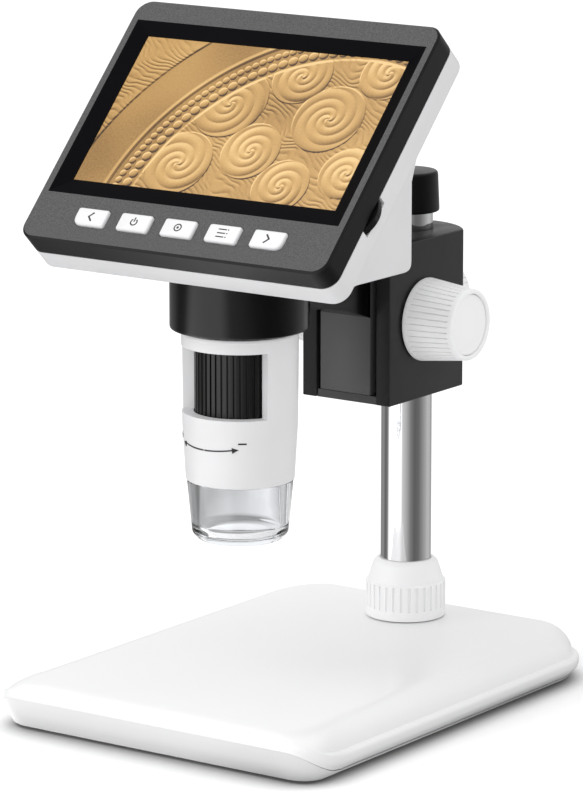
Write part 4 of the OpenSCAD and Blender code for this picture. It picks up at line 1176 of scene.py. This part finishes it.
def relief_group():
    """Height of the ornament at a place on the screen, in millimetres."""
    group = bpy.data.node_groups.new("relief_height", "ShaderNodeTree")
    for name, way in (("X", "INPUT"), ("Y", "INPUT"), ("Height", "OUTPUT")):
        group.interface.new_socket(name, in_out=way, socket_type="NodeSocketFloat")
    ends = group.nodes.new("NodeGroupInput")
    x, y = (Number(group, ends.outputs[axis]) for axis in "XY")

    where = place_node(group, "ShaderNodeCombineXYZ", X=x, Y=y)
    noise = place_node(group, "ShaderNodeTexNoise", Vector=where.outputs[0], Scale=0.075, Detail=1.5)
    wander = Number(group, noise.outputs["Fac"])
    leaves = strand(x * 1.7 + y * 3.1 + (wander - 0.5) * 46)
    ground = leaves * 0.42 + wander * 1.2

    hub = (34.0, -34.0)
    r = from_centre(x, y, hub)[-1]
    inside = smooth_step(60.5, 59.5, r)
    corner = smooth_step(83.5, 84.5, r)
    height = ground * inside.step("MAXIMUM", corner)
    for centre, size, arms, pitch in (((-6, 6), 13.0, 3, 1.6), ((14, 18), 10.5, -2, 1.5),
                                      ((-14, -17), 12.0, -3, 1.6), ((9, -10), 10.5, 2, 1.5),
                                      ((30, 4), 12.5, -3, 1.6), ((25, -21), 10.0, 2, 1.5),
                                      ((43, 22), 10.0, 2, 1.5), ((45, -14), 9.5, -2, 1.5)):
        height = height.step("MAXIMUM", scroll(x, y, centre, size, arms, pitch) * inside)
    for radius, size in ((62.6, 1.55), (66.2, 1.15)):
        height = height.step("MAXIMUM", bead_row(x, y, hub, radius, size, size * 2.15))
    band = 1.1 - abs(r - 69.8)
    place_node(group, "NodeGroupOutput", Height=height.step("MAXIMUM", band.step("MAXIMUM", 0) * 0.8))
    return group


def picture_material():
    """A gilt ornament seen close: scrolls, two rows of beads and a rim on a plain field, lit from the left."""
    made, tree, main = shader("screen_picture", (0.5, 0.38, 0.2), 0.16)
    group = relief_group()
    place = place_node(tree, "ShaderNodeUVMap", uv_map="screen_mm").outputs[0]
    x, y = coordinates(tree, place)[:2]
    step = 0.22
    before, after = (
        Number(tree, place_node(tree, "ShaderNodeGroup", node_tree=group, X=x + side * step * -0.55,
                                Y=y + side * step * 0.83).outputs["Height"]) for side in (-1, 1))
    specks, glow = (
        Number(tree, place_node(tree, "ShaderNodeTexNoise", Vector=place, Scale=scale,
                                Detail=detail).outputs["Fac"]) - 0.5 for scale, detail in ((1.4, 5), (0.03, 1)))
    slope = (before - after) / (2 * step)
    raised = (before + after) * 0.045
    light = slope * 0.42 + (raised + 0.42) + (specks * 0.22 + glow * 0.5)
    tone = ramp(tree, light, (0.0, (0.04, 0.016, 0.003)), (0.22, (0.16, 0.08, 0.018)), (0.45, (0.37, 0.21, 0.064)),
                (0.7, (0.52, 0.315, 0.11)), (1.0, (0.72, 0.49, 0.215)))
    tree.links.new(tone, main.inputs["Base Color"])
    tree.links.new(tone, main.inputs["Emission Color"])
    main.inputs["Emission Strength"].default_value = 0.1
    main.inputs["Specular IOR Level"].default_value = 0.3
    return made


# ---- finishes of the CAD nodes that stay

def finish_nodes():
    finishes = {
        foot_rubber: ["rubber_feet"],
        steel: ["base_weight", "base_screws", "column_socket", "column_bolt", "column_washer", "lock_screw",
                "focus_shaft", "arm_screws", "board_screws", "head_screws", "usb_port"],
        brass: ["height_bush", "shaft_bushes", "lock_pad", "pinion_gear", "focus_rack"],
        block_charcoal: ["stop_plate"],
        ring_black: ["ring_liner", "neck_barrel", "lens_tube", "lens_carrier"],
        board_green: ["key_board", "main_board", "sensor_board", "led_board"],
        part_grey: ["tact_switches", "wheel_pot", "battery", "lcd_panel"],
        lens_glass: ["lens_elements"],
        led_yellow: ["led_chips"],
    }
    for material, names in finishes.items():
        for name in names:
            nodes[name].data.materials.clear()
            nodes[name].data.materials.append(material)


# ---- stage, light and camera

bright = 2.2


def studio_bands(x, y):
    """Brightness of the studio's walls round the part: a soft box at the left and darker flags beside it."""
    first_wall = math.radians(54.67) / (2 * math.pi) + 0.5
    turn = y.step("ARCTAN2", x) / (2 * math.pi) + first_wall
    levels = ((0.0, 0.9), (0.083, 0.28), (0.156, 0.34), (0.203, 0.15), (0.244, 0.3), (0.285, bright),
              (0.415, bright), (0.45, 0.75), (0.5, 0.55), (0.55, 0.26), (0.6, 0.15), (0.656, 0.18),
              (0.717, 0.34), (0.80, 0.62), (0.85, 0.6), (0.9, 0.4), (1.0, 0.9))
    return ramp(x.tree, turn.step("FRACT"), *((place, grey(level / bright)) for place, level in levels))


def ray_kinds(tree):
    """The kinds of ray, and whether one comes from the camera, straight or through the clear cap."""
    kinds = tree.nodes.new("ShaderNodeLightPath").outputs
    direct = Number(tree, kinds["Is Camera Ray"]).step("MAXIMUM", Number(tree, kinds["Is Transmission Ray"]))
    return kinds, direct.socket


def make_stage():
    clear_selection()
    bpy.ops.mesh.primitive_plane_add(size=6, location=(0, 0, 0))
    floor = bpy.context.object
    floor.name = "floor"
    made = bpy.data.materials.new("floor_white")
    made.use_nodes = True
    tree = made.node_tree
    tree.nodes.clear()
    # The floor's colour is darkened by ambient occlusion close to the object, for camera and bounce rays alike: a
    # painted contact shadow, which also dims the light bounced up at the object's undersides.
    contact_shade = place_node(tree, "ShaderNodeAmbientOcclusion", samples=8, Distance=0.03).outputs["AO"]
    lit = place_node(tree, "ShaderNodeBsdfDiffuse", Color=blend(tree, contact_shade, grey(0.08), grey(0.8), 0.3, 1.0))
    paper = place_node(tree, "ShaderNodeBsdfDiffuse", Color=blend(tree, contact_shade, grey(0.15), grey(1), 0.1, 0.85))
    pale = place_node(tree, "ShaderNodeEmission", Color=(1, 1, 1, 1), Strength=0.04)
    lifted = tree.nodes.new("ShaderNodeAddShader")
    tree.links.new(paper.outputs[0], lifted.inputs[0])
    tree.links.new(pale.outputs[0], lifted.inputs[1])
    x, y = coordinates(tree, own_place(tree))[:2]
    around = place_node(tree, "ShaderNodeEmission", Strength=bright, Color=studio_bands(x, y - column_y * MM))
    kinds, direct = ray_kinds(tree)
    seen = run_over(tree, direct, lit.outputs[0], lifted.outputs[0])
    surface = run_over(tree, kinds["Is Glossy Ray"], seen, around.outputs[0])
    place_node(tree, "ShaderNodeOutputMaterial", Surface=surface)
    floor.data.materials.append(made)


def towards_level(tree, share, color, level):
    """A colour run over to an even grey of the given brightness."""
    made = place_node(tree, "ShaderNodeMix", data_type="RGBA", Factor=share)
    tree.links.new(color, made.inputs[6])
    made.inputs[7].default_value = (*grey(level / bright), 1)
    return made.outputs[2]


def make_lights():
    world = bpy.data.worlds.new("studio")
    bpy.context.scene.world = world
    world.use_nodes = True
    tree = world.node_tree
    tree.nodes.clear()
    x, y, z = coordinates(tree, own_place(tree, "Generated"))
    walls = towards_level(tree, smooth_step(0.45, 0.8, z), studio_bands(x, y), 0.9)
    kinds, direct = ray_kinds(tree)
    even = towards_level(tree, Number(tree, kinds["Is Diffuse Ray"]) * 0.7, walls, 1.16)
    room = place_node(tree, "ShaderNodeBackground", Strength=bright, Color=even)
    seen = place_node(tree, "ShaderNodeBackground", Color=(1, 1, 1, 1), Strength=1.0)
    place_node(tree, "ShaderNodeOutputWorld", Surface=run_over(tree, direct, room.outputs[0], seen.outputs[0]))
    clear_selection()
    place = Vector((-0.5, -0.6, 1.2))
    bpy.ops.object.light_add(type="AREA", location=place)
    lamp = bpy.context.object
    lamp.name = "top_box"
    lamp.data.shape = "RECTANGLE"
    lamp.data.size = lamp.data.size_y = 0.9
    lamp.data.energy = 3.4
    lamp.rotation_euler = (Vector((0, 0, 0.1)) - place).to_track_quat("-Z", "Y").to_euler()


def make_camera():
    azimuth, elevation = math.radians(35.33), math.radians(12.115)
    aim = Vector((-15.94, 16.5, 89.25)) * MM
    away = Vector((math.sin(azimuth) * math.cos(elevation), -math.cos(azimuth) * math.cos(elevation),
                   math.sin(elevation)))
    clear_selection()
    bpy.ops.object.camera_add(location=aim + away * 1.4573)
    camera = bpy.context.object
    camera.rotation_euler = (-away).to_track_quat("-Z", "Y").to_euler()
    camera.data.sensor_width = 36
    camera.data.lens = 212.175
    camera.data.clip_end = 20
    bpy.context.scene.camera = camera
    bpy.context.scene.view_settings.view_transform = "Standard"


for make in (make_camera, make_lights, make_stage, make_cover, make_tray, make_column, make_end_cap, make_collar,
             make_block, make_carriage, make_holder, make_focus_knobs, make_lock_knob, make_bezel,
             make_screen_frame, make_picture, make_rear_shell, make_wheel, make_keys, make_key_marks,
             make_sleeve, make_sleeve_marks, make_focus_ring, make_clear_cap, finish_nodes):
    make()
